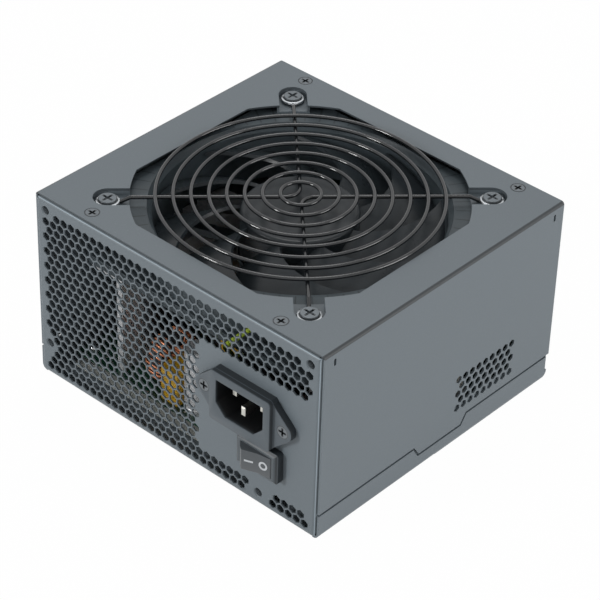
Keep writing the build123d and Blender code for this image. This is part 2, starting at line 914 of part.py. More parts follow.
# ---- Wire grille ----
with BuildPart() as grille_rings:
    for ring in range(ring_count):
        with Locations((0, 0, ring_height)):
            Torus(first_ring + ring * ring_step, wire_radius)

grille_rings.part.label = "grille rings"
export_step(grille_rings.part, "parts/grille_rings.step")

loop_reach = fan_hole_reach - loop_radius / sqrt(2)
drop_end = loop_reach - drop_lead
drop_start = drop_end - drop_run


def grille_spoke(side):
    """One V of wire: a loop round each of two screws, joined by a bend near the middle."""
    with BuildPart() as spoke:
        with BuildLine() as path:
            FilletPolyline(
                (side * loop_reach, -loop_reach, loop_height),
                (side * drop_end, -drop_end, loop_height),
                (side * drop_start, -drop_start, spoke_height),
                (0, 0, spoke_height),
                (side * drop_start, drop_start, spoke_height),
                (side * drop_end, drop_end, loop_height),
                (side * loop_reach, loop_reach, loop_height),
                radius=(drop_bend, drop_bend, spoke_bend, drop_bend, drop_bend),
            )
        with BuildSketch(Plane(origin=path.line @ 0, z_dir=path.line % 0)):
            Circle(wire_radius)
        sweep()
        with Locations(
            (side * fan_hole_reach, -fan_hole_reach, loop_height),
            (side * fan_hole_reach, fan_hole_reach, loop_height),
        ):
            Torus(loop_radius, wire_radius)
    return spoke.part


with BuildPart() as grille_spokes:
    add(grille_spoke(-1))
    add(grille_spoke(1))

grille_spokes.part.label = "grille spokes"
export_step(grille_spokes.part, "parts/grille_spokes.step")

# ---- Mains inlet ----
inlet_screw_points = [
    (inlet_x - inlet_screw_reach, inlet_z),
    (inlet_x + inlet_screw_reach, inlet_z),
]
cavity_z = inlet_z + cavity_lift
cavity_left = inlet_x - cavity_width / 2
cavity_right = inlet_x + cavity_width / 2
cavity_top = cavity_z + cavity_height / 2
cavity_bottom = cavity_z - cavity_height / 2
left_blade_x = inlet_x - blade_spacing
right_blade_x = inlet_x + blade_spacing
outer_blade_z = cavity_z + blade_offset
earth_blade_z = cavity_z - blade_offset
inlet_blade_points = [
    (left_blade_x, outer_blade_z),
    (right_blade_x, outer_blade_z),
    (inlet_x, earth_blade_z),
]

with BuildPart() as inlet_body:
    with BuildSketch(outside(0)):
        with Locations((inlet_x, inlet_z)):
            Rectangle(inlet_block_width - 2 * inlet_corner, inlet_block_height)
        with Locations(*inlet_screw_points):
            Circle(ear_radius)
        make_hull()
    extrude(amount=ear_proud)
    with BuildSketch(outside(0)):
        with Locations((inlet_x, inlet_z)):
            RectangleRounded(inlet_block_width, inlet_block_height, inlet_corner)
    extrude(amount=inlet_block_proud)
    with BuildSketch(outside(0)):
        with Locations((inlet_x, inlet_z)):
            Rectangle(inlet_body_width, inlet_body_height)
    extrude(amount=-inlet_body_depth)
    with BuildSketch(outside(inlet_block_proud)):
        with BuildLine():
            Polyline(
                (cavity_left, cavity_top),
                (cavity_right, cavity_top),
                (cavity_right, cavity_bottom + cavity_chamfer),
                (cavity_right - cavity_chamfer, cavity_bottom),
                (cavity_left + cavity_chamfer, cavity_bottom),
                (cavity_left, cavity_bottom + cavity_chamfer),
                close=True,
            )
        make_face()
    extrude(amount=-cavity_depth, mode=Mode.SUBTRACT)
    with BuildSketch(outside(ear_proud)):
        with Locations(*inlet_screw_points):
            Circle(inlet_shank_radius + screw_clearance)
    extrude(amount=-ear_proud, mode=Mode.SUBTRACT)
    with Locations(*[outside(ear_proud) * Pos(x, z) for x, z in inlet_screw_points]):
        Cone(
            inlet_shank_radius + screw_clearance,
            inlet_head_radius,
            inlet_head_radius - inlet_shank_radius - screw_clearance,
            align=(Align.CENTER, Align.CENTER, Align.MAX),
            mode=Mode.SUBTRACT,
        )
    # Slots that hold the blades
    with BuildSketch(outside(-inlet_body_depth)):
        with Locations(*inlet_blade_points):
            Rectangle(blade_width, blade_height)
    extrude(amount=inlet_body_depth, mode=Mode.SUBTRACT)

inlet_body.part.label = "mains inlet body"
export_step(inlet_body.part, "parts/inlet_body.step")


def inlet_blade(recess):
    """A blade along Y with a bevelled tip in front and a thin tab behind."""
    with BuildPart() as blade:
        with BuildSketch(outside(inlet_block_proud - recess)):
            Rectangle(blade_width, blade_height)
        extrude(amount=-(inlet_block_proud - recess + inlet_body_depth))
        chamfer(blade.faces().sort_by(Axis.Y)[0].edges(), length=blade_bevel)
        with BuildSketch(outside(-inlet_body_depth)):
            Rectangle(tab_thickness, tab_height)
        extrude(amount=-tab_length)
    return blade.part


with BuildPart() as inlet_blades:
    with Locations((left_blade_x, 0, outer_blade_z), (right_blade_x, 0, outer_blade_z)):
        add(inlet_blade(outer_recess))
    with Locations((inlet_x, 0, earth_blade_z)):
        add(inlet_blade(earth_recess))

inlet_blades.part.label = "mains inlet blades"
export_step(inlet_blades.part, "parts/inlet_blades.step")

inlet_screw_length = ear_proud + sheet + nut_thickness + inlet_screw_spare

with BuildPart() as inlet_screws:
    with Locations(*[outside(ear_proud) * Pos(x, z) for x, z in inlet_screw_points]):
        add(flat_screw(inlet_head_radius, inlet_shank_radius, inlet_screw_length))

inlet_screws.part.label = "mains inlet screws"
export_step(inlet_screws.part, "parts/inlet_screws.step")

with BuildPart() as inlet_nuts:
    with BuildSketch(outside(-sheet)):
        with Locations(*inlet_screw_points):
            RegularPolygon(nut_flats / 2, 6, major_radius=False)
            Circle(inlet_shank_radius + screw_clearance, mode=Mode.SUBTRACT)
    extrude(amount=-nut_thickness)

inlet_nuts.part.label = "mains inlet nuts"
export_step(inlet_nuts.part, "parts/inlet_nuts.step")

# ---- Rocker switch: the rocker tips about an upright pivot ----
slope = radians(half_slope)
opening_proud = bezel_proud + bezel_rise
cavity_half_height = rocker_height / 2 + rocker_side_gap
cavity_radius = rocker_radius + rocker_gap
corner_angle = slope + asin(rocker_valley * cos(slope) / rocker_radius)
pressed_rise = rocker_radius * sin(corner_angle - radians(rocker_tilt))
pivot_proud = opening_proud + pressed_proud - pressed_rise

with BuildPart() as switch_housing:
    with BuildSketch(outside(0)):
        with Locations((switch_x, switch_z)):
            Rectangle(bezel_width, bezel_height)
    extrude(amount=bezel_proud)
    with BuildSketch(outside(bezel_proud)):
        with Locations((switch_x, switch_z)):
            Rectangle(bezel_width, bezel_height)
    with BuildSketch(outside(opening_proud)):
        with Locations((switch_x, switch_z)):
            Rectangle(bezel_width - 2 * bezel_slope, bezel_height - 2 * bezel_slope)
    loft()
    with BuildSketch(outside(0)):
        with Locations((switch_x, switch_z)):
            RectangleRounded(bezel_width, bezel_height, bezel_corner)
    extrude(amount=opening_proud, mode=Mode.INTERSECT)
    with BuildSketch(outside(0)):
        with Locations((switch_x, switch_z)):
            Rectangle(switch_body_width, switch_body_height)
    extrude(amount=-switch_body_depth)
    # Round above the pivot, straight below it
    with Locations((switch_x, -half_depth - pivot_proud, switch_z)):
        Cylinder(cavity_radius, 2 * cavity_half_height, mode=Mode.SUBTRACT)
        Cylinder(
            pivot_radius + running_clearance,
            2 * (cavity_half_height + pivot_length),
            mode=Mode.SUBTRACT,
        )
    with BuildSketch(outside(pivot_proud)):
        with Locations((switch_x, switch_z)):
            Rectangle(2 * cavity_radius, 2 * cavity_half_height)
    extrude(amount=-(pivot_proud + switch_body_depth - switch_floor), mode=Mode.SUBTRACT)
    with BuildSketch(outside(-switch_body_depth)):
        with Locations((switch_x, switch_z)):
            with GridLocations(terminal_spacing, 0, 2, 1):
                Rectangle(tab_thickness, tab_height)
    extrude(amount=switch_floor, mode=Mode.SUBTRACT)

switch_housing.part.label = "switch housing"
export_step(switch_housing.part, "parts/switch_housing.step")

with BuildPart() as switch_terminals:
    with BuildSketch(outside(-switch_body_depth + switch_floor)):
        with Locations((switch_x, switch_z)):
            with GridLocations(terminal_spacing, 0, 2, 1):
                Rectangle(tab_thickness, tab_height)
    extrude(amount=-(switch_floor + tab_length))

switch_terminals.part.label = "switch terminals"
export_step(switch_terminals.part, "parts/switch_terminals.step")

# The rocker's own plane: local y points out of the panel, turned to rest with
# the right end pressed in
rest_plane = Plane(
    origin=(switch_x, -half_depth - pivot_proud, switch_z),
    x_dir=(cos(radians(rocker_tilt)), sin(radians(rocker_tilt)), 0),
    z_dir=(0, 0, -1),
)
end_rise = rocker_valley + 2 * rocker_radius * tan(slope)

with BuildPart() as switch_rocker:
    with BuildSketch(rest_plane):
        Circle(rocker_radius)
        with BuildLine():
            Polyline(
                (-2 * rocker_radius, end_rise),
                (0, rocker_valley),
                (2 * rocker_radius, end_rise),
                (2 * rocker_radius, -rocker_tail),
                (-2 * rocker_radius, -rocker_tail),
                close=True,
            )
        make_face(mode=Mode.INTERSECT)
    extrude(amount=rocker_height / 2, both=True)
    with BuildSketch(rest_plane):
        Circle(pivot_radius)
    extrude(amount=rocker_height / 2 + pivot_length, both=True)

switch_rocker.part.label = "switch rocker"
export_step(switch_rocker.part, "parts/switch_rocker.step")

half_middle = rocker_radius * cos(corner_angle) / 2
half_rise = rocker_valley + half_middle * tan(slope)


def mark_plane(side):
    """The plane of one half of the rocker's front: local x runs to the right, local y up."""
    turn = radians(rocker_tilt - side * half_slope)
    return Plane(
        origin=rest_plane.from_local_coords(Vector(side * half_middle, half_rise, 0)),
        x_dir=(cos(turn), sin(turn), 0),
        z_dir=(sin(turn), -cos(turn), 0),
    )


with BuildPart() as switch_marks:
    with BuildSketch(mark_plane(-1)):
        Rectangle(line_mark_length, mark_width)
    extrude(amount=mark_thickness)
    with BuildSketch(mark_plane(1)):
        Circle(circle_mark_radius)
        Circle(circle_mark_radius - mark_width, mode=Mode.SUBTRACT)
    extrude(amount=mark_thickness)

switch_marks.part.label = "switch marks"
export_step(switch_marks.part, "parts/switch_marks.step")

# ---- Main board and what holds it ----
with BuildPart() as insulating_sheet:
    with BuildSketch(Plane.XY.offset(sheet)):
        with Locations((0, board_front - film_margin)):
            Rectangle(
                2 * (board_half_width + film_margin),
                board_back - board_front + 2 * film_margin,
                align=(Align.CENTER, Align.MIN),
            )
        with Locations(*board_screw_points):
            RegularPolygon(standoff_flats / 2 + seam_gap, 6, major_radius=False, mode=Mode.SUBTRACT)
    extrude(amount=film_thickness)

insulating_sheet.part.label = "insulating sheet"
export_step(insulating_sheet.part, "parts/insulating_sheet.step")

with BuildPart() as board_standoffs:
    with BuildSketch(Plane.XY.offset(sheet)):
        with Locations(*board_screw_points):
            RegularPolygon(standoff_flats / 2, 6, major_radius=False)
            Circle(board_screw_radius + screw_clearance, mode=Mode.SUBTRACT)
    extrude(amount=standoff_height)

board_standoffs.part.label = "board stand-offs"
export_step(board_standoffs.part, "parts/board_standoffs.step")

with BuildPart() as main_board:
    with BuildSketch(Plane.XY.offset(board_bottom)):
        with Locations((0, board_front)):
            Rectangle(
                2 * board_half_width,
                board_back - board_front,
                align=(Align.CENTER, Align.MIN),
            )
        with Locations(*board_screw_points):
            Circle(board_screw_radius + screw_clearance, mode=Mode.SUBTRACT)
    extrude(amount=board_thickness)

main_board.part.label = "main board"
export_step(main_board.part, "parts/main_board.step")

with BuildPart() as board_screws:
    with Locations(*[(x, y, board_top) for x, y in board_screw_points]):
        add(pan_screw(board_head_radius, board_head_height, board_screw_radius, standoff_height))

board_screws.part.label = "board screws"
export_step(board_screws.part, "parts/board_screws.step")


# ---- Heatsinks ----
def heatsink(x, front, back, side):
    """An upright plate with fingers bent to one side along its top."""
    with BuildPart() as sink:
        with Locations((x, (front + back) / 2, board_top)):
            Box(
                heatsink_thickness,
                back - front,
                heatsink_height,
                align=(Align.CENTER, Align.CENTER, Align.MIN),
            )
        finger = (back - front - (fin_count - 1) * fin_gap) / fin_count
        for fin in range(fin_count):
            with Locations((x, front + finger / 2 + fin * (finger + fin_gap), heatsink_top)):
                Box(
                    fin_reach,
                    finger,
                    heatsink_thickness,
                    align=(Align.MAX if side < 0 else Align.MIN, Align.CENTER, Align.MAX),
                )
        fillet(sink.edges().filter_by(Axis.Y).group_by(Axis.Z)[-1].sort_by(Axis.X)[0], radius=0.4)
    return sink.part


with BuildPart() as primary_heatsink:
    add(heatsink(primary_x, primary_front, primary_back, -1))

primary_heatsink.part.label = "primary heatsink"
export_step(primary_heatsink.part, "parts/primary_heatsink.step")

with BuildPart() as secondary_heatsink:
    add(heatsink(secondary_x, secondary_front, secondary_back, 1))

secondary_heatsink.part.label = "secondary heatsink"
export_step(secondary_heatsink.part, "parts/secondary_heatsink.step")


def power_package(side):
    """A three-legged package with its tab against x = 0, standing on z = 0."""
    with BuildPart() as package:
        with Locations((0, 0, package_lift)):
            Box(
                package_thickness,
                package_width,
                package_height,
                align=(Align.MAX if side < 0 else Align.MIN, Align.CENTER, Align.MIN),
            )
        for leg in (-1, 0, 1):
            with Locations((side * package_thickness / 2, leg * package_width / 4, 0)):
                Box(lead_width, lead_width, package_lift, align=(Align.CENTER, Align.CENTER, Align.MIN))
    return package.part


with BuildPart() as primary_transistors:
    with Locations((primary_x - heatsink_thickness / 2, transistor_y, board_top)):
        with GridLocations(0, package_spacing, 1, 3):
            add(power_package(-1))

primary_transistors.part.label = "primary transistors"
export_step(primary_transistors.part, "parts/primary_transistors.step")

with BuildPart() as secondary_rectifiers:
    with Locations((secondary_x + heatsink_thickness / 2, output_rectifier_y, board_top)):
        with GridLocations(0, package_spacing, 1, 3):
            add(power_package(1))

secondary_rectifiers.part.label = "secondary rectifiers"
export_step(secondary_rectifiers.part, "parts/secondary_rectifiers.step")

with BuildPart() as bridge_rectifier:
    with Locations((primary_x + heatsink_thickness / 2, bridge_y, board_top + lead_length)):
        Box(
            bridge_thickness,
            bridge_width,
            bridge_height,
            align=(Align.MIN, Align.CENTER, Align.MIN),
        )
    with Locations((primary_x + (heatsink_thickness + bridge_thickness) / 2, bridge_y, board_top)):
        with GridLocations(0, bridge_width / 4, 1, 4):
            Box(lead_width, lead_width, lead_length, align=(Align.CENTER, Align.CENTER, Align.MIN))

bridge_rectifier.part.label = "bridge rectifier"
export_step(bridge_rectifier.part, "parts/bridge_rectifier.step")


# ---- Capacitors ----
def can(radius, height):
    """An electrolytic can with a rolled groove near its foot."""
    with BuildPart() as body:
        Cylinder(radius, height, align=(Align.CENTER, Align.CENTER, Align.MIN))
        fillet(body.edges().sort_by(Axis.Z)[-1], radius=can_edge)
        with Locations((0, 0, can_groove_height)):
            Torus(radius + can_groove_radius / 2, can_groove_radius, mode=Mode.SUBTRACT)
    return body.part


with BuildPart() as bulk_capacitor:
    with Locations((bulk_x, bulk_y, board_top)):
        add(can(bulk_radius, bulk_height))

bulk_capacitor.part.label = "bulk capacitor"
export_step(bulk_capacitor.part, "parts/bulk_capacitor.step")

with BuildPart() as input_capacitor:
    with Locations((input_cap_x, input_cap_y, board_top)):
        add(can(input_cap_radius, input_cap_height))

input_capacitor.part.label = "input capacitor"
export_step(input_capacitor.part, "parts/input_capacitor.step")

with BuildPart() as output_capacitors:
    with Locations((output_cap_x, output_cap_y, board_top)):
        with GridLocations(output_cap_pitch, output_cap_pitch, 2, 2):
            add(can(output_cap_radius, output_cap_height))

output_capacitors.part.label = "output capacitors"
export_step(output_capacitors.part, "parts/output_capacitors.step")

with BuildPart() as x_capacitor:
    with Locations((x_cap_x, x_cap_y, board_top)):
        Box(x_cap_width, x_cap_depth, x_cap_height, align=(Align.CENTER, Align.CENTER, Align.MIN))
    fillet(x_capacitor.edges().filter_by(Axis.Z), radius=x_cap_corner)

x_capacitor.part.label = "line filter capacitor"
export_step(x_capacitor.part, "parts/x_capacitor.step")

with BuildPart() as y_capacitors:
    with Locations((y_cap_x, y_cap_y, board_top + y_cap_radius)):
        with GridLocations(y_cap_spacing, 0, 2, 1):
            Cylinder(y_cap_radius, y_cap_thickness, rotation=(90, 0, 0))

y_capacitors.part.label = "earth capacitors"
export_step(y_capacitors.part, "parts/y_capacitors.step")

with BuildPart() as fuse:
    with Locations(Location((fuse_x, fuse_y, board_top + fuse_radius), (0, 90, 0))):
        Cylinder(fuse_radius, fuse_length)

fuse.part.label = "fuse"
export_step(fuse.part, "parts/fuse.step")

# ---- Transformers ----
with BuildPart() as transformer_core:
    with Locations((transformer_x, transformer_y, board_top)):
        Box(core_width, core_depth, core_height, align=(Align.CENTER, Align.CENTER, Align.MIN))
        with Locations((0, 0, core_limb)):
            Box(
                core_width - 2 * core_limb,
                core_depth,
                core_height - 2 * core_limb,
                align=(Align.CENTER, Align.CENTER, Align.MIN),
                mode=Mode.SUBTRACT,
            )

transformer_core.part.label = "transformer core"
export_step(transformer_core.part, "parts/transformer_core.step")

with BuildPart() as transformer_winding:
    with Locations((transformer_x, transformer_y, board_top + core_limb)):
        Box(
            core_width - 2 * core_limb,
            core_depth + 2 * winding_overhang,
            core_height - 2 * core_limb,
            align=(Align.CENTER, Align.CENTER, Align.MIN),
        )
    fillet(transformer_winding.edges().filter_by(Axis.Z), radius=winding_corner)

transformer_winding.part.label = "transformer winding"
export_step(transformer_winding.part, "parts/transformer_winding.step")

with BuildPart() as standby_transformer:
    with Locations((standby_x, standby_y, board_top)):
        Box(
            standby_size,
            standby_size,
            standby_height,
            align=(Align.CENTER, Align.CENTER, Align.MIN),
        )
    chamfer(standby_transformer.edges().filter_by(Axis.Z), length=standby_corner)

standby_transformer.part.label = "standby transformer"
export_step(standby_transformer.part, "parts/standby_transformer.step")


# ---- Chokes: a ring core inside two wound sectors ----
def ring(plane, outer, inner, depth):
    with BuildPart() as core:
        with BuildSketch(plane):
            Circle(outer)
            Circle(inner, mode=Mode.SUBTRACT)
        extrude(amount=depth / 2, both=True)
    return core.part


def wound_sectors(plane, outer, inner, depth):
    """The wire's outer shape on both halves of a ring core, around the core."""
    with BuildPart() as winding:
        with BuildSketch(plane):
            Circle(outer)
            Circle(inner, mode=Mode.SUBTRACT)
            Rectangle(2 * outer * sin(radians(winding_gap)), 2 * outer, mode=Mode.SUBTRACT)
        extrude(amount=depth / 2, both=True)
        add(
            ring(plane, outer - core_inset, inner + core_inset, depth - 2 * core_inset),
            mode=Mode.SUBTRACT,
        )
    return winding.part


filter_plane = Plane(
    origin=(filter_x, filter_y, board_top + filter_outer),
    x_dir=(0, 1, 0),
    z_dir=(1, 0, 0),
)
boost_plane = Plane.XY.offset(board_top + boost_height / 2).move(Location((boost_x, boost_y, 0)))
output_choke_plane = Plane.XY.offset(board_top + output_choke_height / 2).move(
    Location((output_choke_x, output_choke_y, 0))
)

with BuildPart() as filter_choke_core:
    add(
        ring(
            filter_plane,
            filter_outer - core_inset,
            filter_inner + core_inset,
            filter_depth - 2 * core_inset,
        )
    )

filter_choke_core.part.label = "filter choke core"
export_step(filter_choke_core.part, "parts/filter_choke_core.step")

with BuildPart() as filter_choke_winding:
    add(wound_sectors(filter_plane, filter_outer, filter_inner, filter_depth))

filter_choke_winding.part.label = "filter choke winding"
export_step(filter_choke_winding.part, "parts/filter_choke_winding.step")

with BuildPart() as boost_choke_core:
    add(
        ring(
            boost_plane,
            boost_outer - core_inset,
            boost_inner + core_inset,
            boost_height - 2 * core_inset,
        )
    )

boost_choke_core.part.label = "boost choke core"
export_step(boost_choke_core.part, "parts/boost_choke_core.step")

with BuildPart() as boost_choke_winding:
    add(wound_sectors(boost_plane, boost_outer, boost_inner, boost_height))

boost_choke_winding.part.label = "boost choke winding"
export_step(boost_choke_winding.part, "parts/boost_choke_winding.step")

with BuildPart() as output_choke_core:
    add(
        ring(
            output_choke_plane,
            output_choke_outer - core_inset,
            output_choke_inner + core_inset,
            output_choke_height - 2 * core_inset,
        )
    )

output_choke_core.part.label = "output choke core"
export_step(output_choke_core.part, "parts/output_choke_core.step")

with BuildPart() as output_choke_winding:
    add(
        wound_sectors(
            output_choke_plane,
            output_choke_outer,
            output_choke_inner,
            output_choke_height,
        )
    )

output_choke_winding.part.label = "output choke winding"
export_step(output_choke_winding.part, "parts/output_choke_winding.step")

# ---- Controller board and the fan's header ----
with BuildPart() as controller_board:
    with Locations((controller_x, controller_y, board_top)):
        Box(
            controller_width,
            board_thickness,
            controller_height,
            align=(Align.CENTER, Align.CENTER, Align.MIN),
        )

controller_board.part.label = "controller board"
export_step(controller_board.part, "parts/controller_board.step")

with BuildPart() as fan_header:
    with Locations((header_x, header_y, board_top)):
        Box(
            header_depth,
            header_width,
            header_height,
            align=(Align.CENTER, Align.CENTER, Align.MIN),
        )

fan_header.part.label = "fan header"
export_step(fan_header.part, "parts/fan_header.step")

# ---- Output side ----
socket_board_back = board_back + board_thickness

with BuildPart() as socket_board:
    with BuildSketch(Plane.XZ.offset(-board_back)):
        with Locations((0, (socket_board_bottom + socket_board_top) / 2)):
            Rectangle(2 * socket_board_half_width, socket_board_top - socket_board_bottom)
    extrude(amount=-board_thickness)

socket_board.part.label = "socket board"
export_step(socket_board.part, "parts/socket_board.step")

socket_cells = [
    (x + (column - (columns - 1) / 2) * socket_pitch, z + row * socket_pitch / 2)
    for x, z, columns in socket_rows
    for column in range(columns)
    for row in (-1, 1)
]

with BuildPart() as output_sockets:
    with BuildSketch(Plane.XZ.offset(-socket_board_back)):
        for x, z, columns in socket_rows:
            with Locations((x, z)):
                Rectangle(socket_width(columns), socket_height)
    extrude(amount=-(half_depth + socket_proud - socket_board_back))
    with BuildSketch(Plane.XZ.offset(-half_depth - socket_proud)):
        with Locations(*socket_cells):
            Rectangle(socket_cell, socket_cell)
    extrude(amount=socket_cell_depth, mode=Mode.SUBTRACT)

output_sockets.part.label = "output sockets"
export_step(output_sockets.part, "parts/output_sockets.step")

socket_floor = half_depth + socket_proud - socket_cell_depth

with BuildPart() as socket_pins:
    with BuildSketch(Plane.XZ.offset(-socket_floor)):
        with Locations(*socket_cells):
            Circle(pin_radius)
    extrude(amount=-pin_length)

socket_pins.part.label = "socket pins"
export_step(socket_pins.part, "parts/socket_pins.step")

# ---- Internal leads ----
tab_end = -half_depth + inlet_body_depth + tab_length
switch_tab_end = -half_depth + switch_body_depth + tab_length
left_tab_x = switch_x - terminal_spacing / 2
right_tab_x = switch_x + terminal_spacing / 2

with BuildPart() as mains_leads:
    add(
        lead(
            [
                (left_blade_x, tab_end, outer_blade_z),
                (left_blade_x, tab_end + 6, outer_blade_z),
                (left_blade_x + 3, tab_end + 8, outer_blade_z - 10),
                (left_tab_x, switch_tab_end + 7, switch_z),
                (left_tab_x, switch_tab_end, switch_z),
            ],
            (3.5, 4.0, 3.5),
            mains_lead_radius,
        )
    )
    add(
        lead(
            [
                (right_blade_x, tab_end, outer_blade_z),
                (right_blade_x, tab_end + 7, outer_blade_z),
                (right_blade_x + 13, tab_end + 8, outer_blade_z - 9),
                (right_blade_x + 15, tab_end - 1, switch_z),
                (right_blade_x + 15, tab_end - 1, board_top),
            ],
            (3.5, 4.0, 6.0),
            mains_lead_radius,
        )
    )
    add(
        lead(
            [
                (right_tab_x, switch_tab_end, switch_z),
                (right_tab_x, switch_tab_end + 3, switch_z),
                (right_tab_x + 3.5, switch_tab_end - 1, switch_z - 9),
                (right_tab_x + 3.5, switch_tab_end - 1, board_top),
            ],
            (1.5, 2.5),
            mains_lead_radius,
        )
    )

mains_leads.part.label = "mains leads"
export_step(mains_leads.part, "parts/mains_leads.step")

with BuildPart() as earth_wire:
    add(
        lead(
            [
                (inlet_x, tab_end, earth_blade_z),
                (inlet_x, tab_end + 10, earth_blade_z),
                (inlet_x - 14, tab_end + 9, earth_blade_z + 5),
                (inlet_x - 18, -half_depth + 11, earth_blade_z + 8),
                (inlet_x - 17, -half_depth + 5, earth_blade_z + 17),
                (inlet_x - 3, -half_depth + 5, face_top - sheet - 7),
                (inlet_x - 3, -half_depth + 5, face_top - sheet),
            ],
            (4.0, 5.0, 4.0, 4.0, 3.0),
            mains_lead_radius,
        )
    )

earth_wire.part.label = "earth wire"
export_step(earth_wire.part, "parts/earth_wire.step")

with BuildPart() as fan_lead:
    add(
        lead(
            [
                (duct_radius + duct_wall + 2, 6, fan_bottom + 3),
                (duct_radius + duct_wall + 6, 9, fan_bottom - 6),
                (duct_radius + duct_wall + 7, 16, fan_bottom - 22),
                (header_x, header_y, board_top + header_height + 10),
                (header_x, header_y, board_top + header_height),
            ],
            (5.0, 8.0, 5.0),
            fan_lead_radius,
        )
    )

fan_lead.part.label = "fan lead"
export_step(fan_lead.part, "parts/fan_lead.step")

with BuildPart() as output_leads:
    for place in range(output_lead_count):
        spread = place - (output_lead_count - 1) / 2
        add(
            lead(
                [
                    (spread * output_lead_pitch, board_back - 7, board_top),
                    (spread * output_lead_pitch, board_back - 7, board_top + 12),
                    (1.2 * spread * output_lead_pitch, board_back - 5, upper_socket_z - 9),
                    (1.2 * spread * output_lead_pitch, board_back, upper_socket_z - 9),
                ],
                (6.0, 3.0),
                output_lead_radius,
            )
        )

output_leads.part.label = "output leads"
export_step(output_leads.part, "parts/output_leads.step")
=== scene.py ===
from math import cos, hypot, radians, sin, sqrt

import bmesh
import bpy
from mathutils import Matrix, Vector


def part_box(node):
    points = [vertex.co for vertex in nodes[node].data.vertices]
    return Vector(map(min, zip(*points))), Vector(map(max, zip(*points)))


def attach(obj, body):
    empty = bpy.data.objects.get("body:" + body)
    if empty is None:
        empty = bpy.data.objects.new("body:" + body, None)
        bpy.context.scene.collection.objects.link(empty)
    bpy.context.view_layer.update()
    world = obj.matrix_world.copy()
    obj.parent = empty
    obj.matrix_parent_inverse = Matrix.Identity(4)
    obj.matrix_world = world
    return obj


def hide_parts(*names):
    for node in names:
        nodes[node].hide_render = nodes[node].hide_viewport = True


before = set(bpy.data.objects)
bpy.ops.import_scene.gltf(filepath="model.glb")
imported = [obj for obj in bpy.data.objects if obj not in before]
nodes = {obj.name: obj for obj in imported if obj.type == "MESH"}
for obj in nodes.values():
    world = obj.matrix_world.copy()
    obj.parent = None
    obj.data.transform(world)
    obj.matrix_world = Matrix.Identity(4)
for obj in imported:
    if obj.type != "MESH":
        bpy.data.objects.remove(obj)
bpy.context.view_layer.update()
print("frame loaded with", len(nodes), "nodes")

mm = 0.001


# camera

camera = {
    "azimuth": 41.36,
    "elevation": 36.37,
    "roll": 1.915,
    "distance": 1007.5 * mm,
    "lens": 152.94,
    "sensor": 36,
    "clip": (0.02, 50),
    "centre": (0, 0, 43 * mm),
    "across": 0.874 * mm,
    "upwards": -5.375 * mm,
}


def placeCamera(settings):
    turn, rise, roll = (radians(settings[key]) for key in ("azimuth", "elevation", "roll"))
    forward = Vector((-sin(turn) * cos(rise), cos(turn) * cos(rise), -sin(rise)))
    level = forward.cross(Vector((0, 0, 1))).normalized()
    upright = level.cross(forward)
    right = level * cos(roll) + upright * sin(roll)
    up = upright * cos(roll) - level * sin(roll)
    target = Vector(settings["centre"]) + right * settings["across"] + up * settings["upwards"]
    data = bpy.data.cameras.new("camera")
    data.sensor_width = settings["sensor"]
    data.lens = settings["lens"]
    data.clip_start, data.clip_end = settings["clip"]
    seen = bpy.data.objects.new("camera", data)
    axes = Matrix((right, up, -forward)).transposed().to_4x4()
    seen.matrix_world = Matrix.Translation(target - forward * settings["distance"]) @ axes
    bpy.context.scene.collection.objects.link(seen)
    bpy.context.scene.camera = seen


placeCamera(camera)
bpy.context.scene.view_settings.view_transform = "Standard"


# shader helpers


def tone(colour, share=1.0, more=0):  # a screen colour of 0 to 255, scaled or shifted, as linear light
    parts = [(part * share + more) / 255 for part in colour]
    return [part / 12.92 if part < 0.04045 else ((part + 0.055) / 1.055) ** 2.4 for part in parts] + [1.0]


class Number:  # a number socket that takes plain arithmetic
    def __init__(self, tree, socket):
        self.tree = tree
        self.socket = socket

    def maths(self, operation, *values):
        made = node(self.tree, "ShaderNodeMath", {"operation": operation}, dict(enumerate(values)))
        return Number(self.tree, made.outputs[0])

    def __add__(self, other):
        return self.maths("ADD", self, other)

    def __sub__(self, other):
        return self.maths("SUBTRACT", self, other)

    def __rsub__(self, other):
        return self.maths("SUBTRACT", other, self)

    def __mul__(self, other):
        return self.maths("MULTIPLY", self, other)

    def __pow__(self, other):
        return self.maths("POWER", self, other)

    def __abs__(self):
        return self.maths("ABSOLUTE", self)

    __radd__ = __add__
    __rmul__ = __mul__


def node(tree, kind, settings=None, inputs=None):
    made = tree.nodes.new(kind)
    for key, value in (settings or {}).items():
        setattr(made, key, value)
    for key, value in (inputs or {}).items():
        if isinstance(value, Number):
            value = value.socket
        if isinstance(value, bpy.types.NodeSocket):
            tree.links.new(value, made.inputs[key])
        else:
            made.inputs[key].default_value = value
    return made


